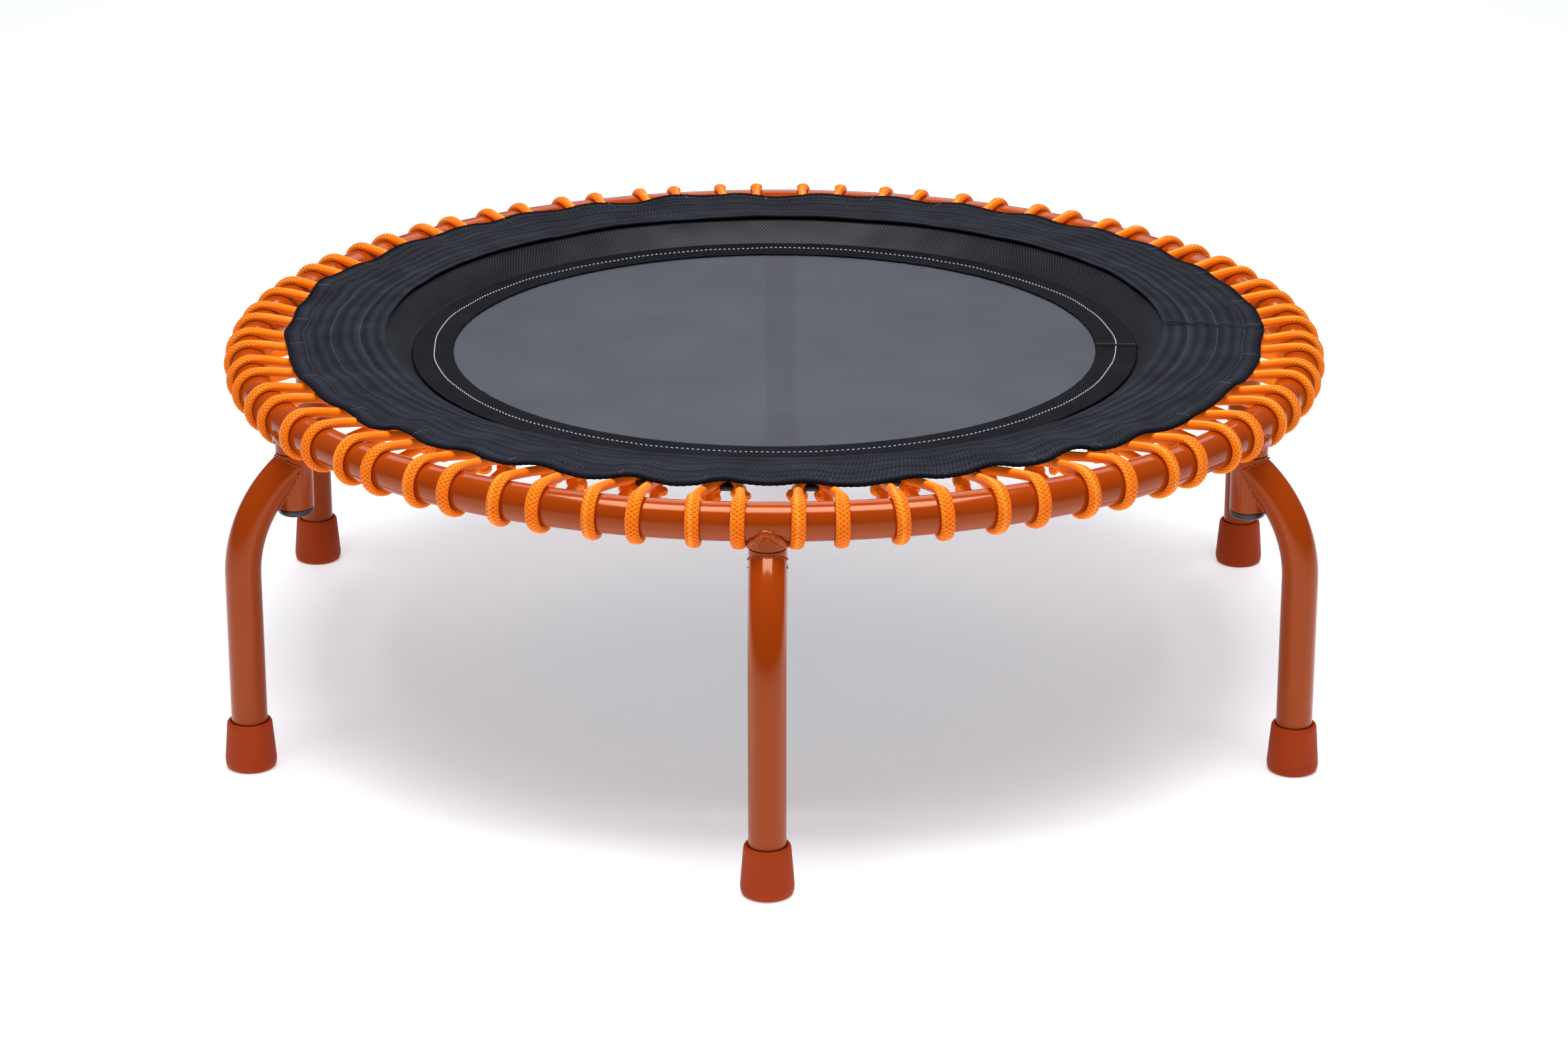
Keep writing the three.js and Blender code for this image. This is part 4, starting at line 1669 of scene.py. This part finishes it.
@dataclass
class StrapRing(Cloth):
    """Webbing ring under the skirt, with one folded loop for each cord."""

    webbing: bpy.types.Material
    nylon: bpy.types.Material
    inner: float = 360 * MM
    outer: float = 372 * MM
    drop: float = 6 * MM
    loop_radius: float = 388.5 * MM
    loop_level: float = 308 * MM
    loop_half_width: float = 9.5 * MM
    loop_bore: float = 4.6 * MM
    thickness: float = 1.5 * MM
    clip_radius: float = 401 * MM
    clip_level: float = 309 * MM
    clip_size: tuple[float, float, float] = (11 * MM, 13 * MM, 5 * MM)

    def build(self) -> list[bpy.types.Object]:
        """Makes the ring with its loops, and the clips that hold the cords' ends."""
        pieces = [self.ring("strap_band", spaced(self.inner, self.outer, 5), 360, self.surface)]
        for k, azimuth in enumerate(cord_azimuths()):
            loop = self.loop(self.surface(self.outer, azimuth)[1])
            pieces.append(turned_copy(loop, f"loop_{k}", azimuth))
            discard(loop)
        straps = join(pieces, "strap_loops")
        apply(straps, "SOLIDIFY", thickness=self.thickness, offset=0)
        smooth(straps, 60)
        dress(straps, self.webbing)
        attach(straps, Body.MAT.value)
        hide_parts("strap_ring")
        return [straps, *self.clips()]

    def surface(self, radius: float, azimuth: float) -> tuple[float, float]:
        """Radius and height of the webbing ring, which hangs under the skirt."""
        return radius, self.layout.skirt_level - self.drop - front_sag(azimuth)

    def loop(self, level: float) -> bpy.types.Object:
        """Makes one folded loop at azimuth 0, as a strip round the cord's turn."""
        line = [(self.outer - 8 * MM, level - 1.6 * MM), (self.outer - 2 * MM, level - 2.2 * MM),
                (self.loop_radius - 7 * MM, self.loop_level + 9 * MM)]
        for degrees in range(165, -196, -20):
            angle = math.radians(degrees)
            line.append((self.loop_radius + self.loop_bore * math.cos(angle),
                         self.loop_level + self.loop_bore * math.sin(angle)))
        line += [(self.loop_radius - 8.5 * MM, self.loop_level + 6 * MM),
                 (self.outer - 4 * MM, level - 5 * MM)]
        offsets = (-self.loop_half_width, 0.0, self.loop_half_width)
        points = np.array([[(r, offset, z) for offset in offsets] for r, z in line])
        steps = np.linalg.norm(np.diff(np.array(line), axis=0), axis=1)
        along = np.concatenate([[0], np.cumsum(steps)])
        across = np.array([0.0, self.loop_half_width, 2 * self.loop_half_width])
        uvs = np.stack(np.broadcast_arrays(across[None], along[:, None]), -1)
        return from_grid("strap_loop", points, uvs, False)

    def clips(self) -> list[bpy.types.Object]:
        """Makes the 36 clips, each a rounded block with a recess above and below."""
        deselect()
        place = (self.clip_radius, 0, self.clip_level)
        bpy.ops.mesh.primitive_cube_add(size=1, location=place, scale=self.clip_size)
        pattern = settle(bpy.context.object, "clip_pattern")
        bpy.ops.object.mode_set(mode="EDIT")
        bpy.ops.mesh.select_mode(type="FACE")
        bpy.ops.mesh.select_all(action="DESELECT")
        bpy.ops.object.mode_set(mode="OBJECT")
        for face in pattern.data.polygons:
            face.select = abs(face.normal.z) > 0.9
        bpy.ops.object.mode_set(mode="EDIT")
        bpy.ops.mesh.inset(thickness=2.4 * MM, depth=-1.2 * MM, use_individual=True)
        bpy.ops.object.mode_set(mode="OBJECT")
        apply(pattern, "BEVEL", width=1.1 * MM, segments=3, limit_method="ANGLE")
        smooth(pattern, 40)
        dress(pattern, self.nylon)
        clips = []
        for k, azimuth in enumerate(cord_azimuths(), 1):
            clip = turned_copy(pattern, f"cord_clip_{k:02d}", azimuth)
            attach(clip, Body.MAT.value)
            clips.append(clip)
        discard(pattern)
        return clips


def main() -> None:
    """Builds the trampoline piece by piece and reports each."""
    logging.basicConfig(level=logging.INFO, format="%(name)s: %(message)s")
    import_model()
    Studio().build()
    layout = Layout.from_frame()
    paint = PowderCoat().build()
    nylon = MouldedNylon().build()
    black_thread = SpunThread("spun_thread_black", "#131419", "#060608").build()
    white_thread = SpunThread("spun_thread_white", "#D5DAE4", "#9AA1B0").build()
    band_cloth = RibbedCloth("brushed_webbing_black", "#030305", "#17181F", 2.4 * MM, slant=0.8, fuzz=0.65)
    skirt_cloth = RibbedCloth("ribbed_twill_black", "#040407", "#2C2E3A", 3.4 * MM, slant=0.3, fuzz=0.2)
    strap_cloth = RibbedCloth("strap_webbing_black", "#0B0B0D", "#24252A", 2.0 * MM, slant=0.6, fuzz=0.2)
    cords = BungeeCords(layout, BraidedPolyester().build())
    pieces = [
        FrameRing(layout, paint).build(),
        *Leg(layout, paint).build(),
        *BoltHead(layout, nylon).build(),
        *Foot(layout, MouldedRubber().build()).build(),
        *cords.build(),
        JumpMat(layout, WovenPolypropylene().build()).build(),
        *EdgeBand(layout, band_cloth.build(), white_thread, black_thread).build(),
        MeshRing(layout, OpenMesh().build()).build(),
        *Skirt(layout, skirt_cloth.build(), black_thread).build(),
        *StrapRing(layout, strap_cloth.build(), nylon).build(),
    ]
    for piece in pieces:
        log.info("%s: %d faces", piece.name, len(piece.data.polygons))
    log.info("cord lengths without knots: %.4f to %.4f m", min(cords.lengths), max(cords.lengths))


if __name__ == "__main__":
    main()
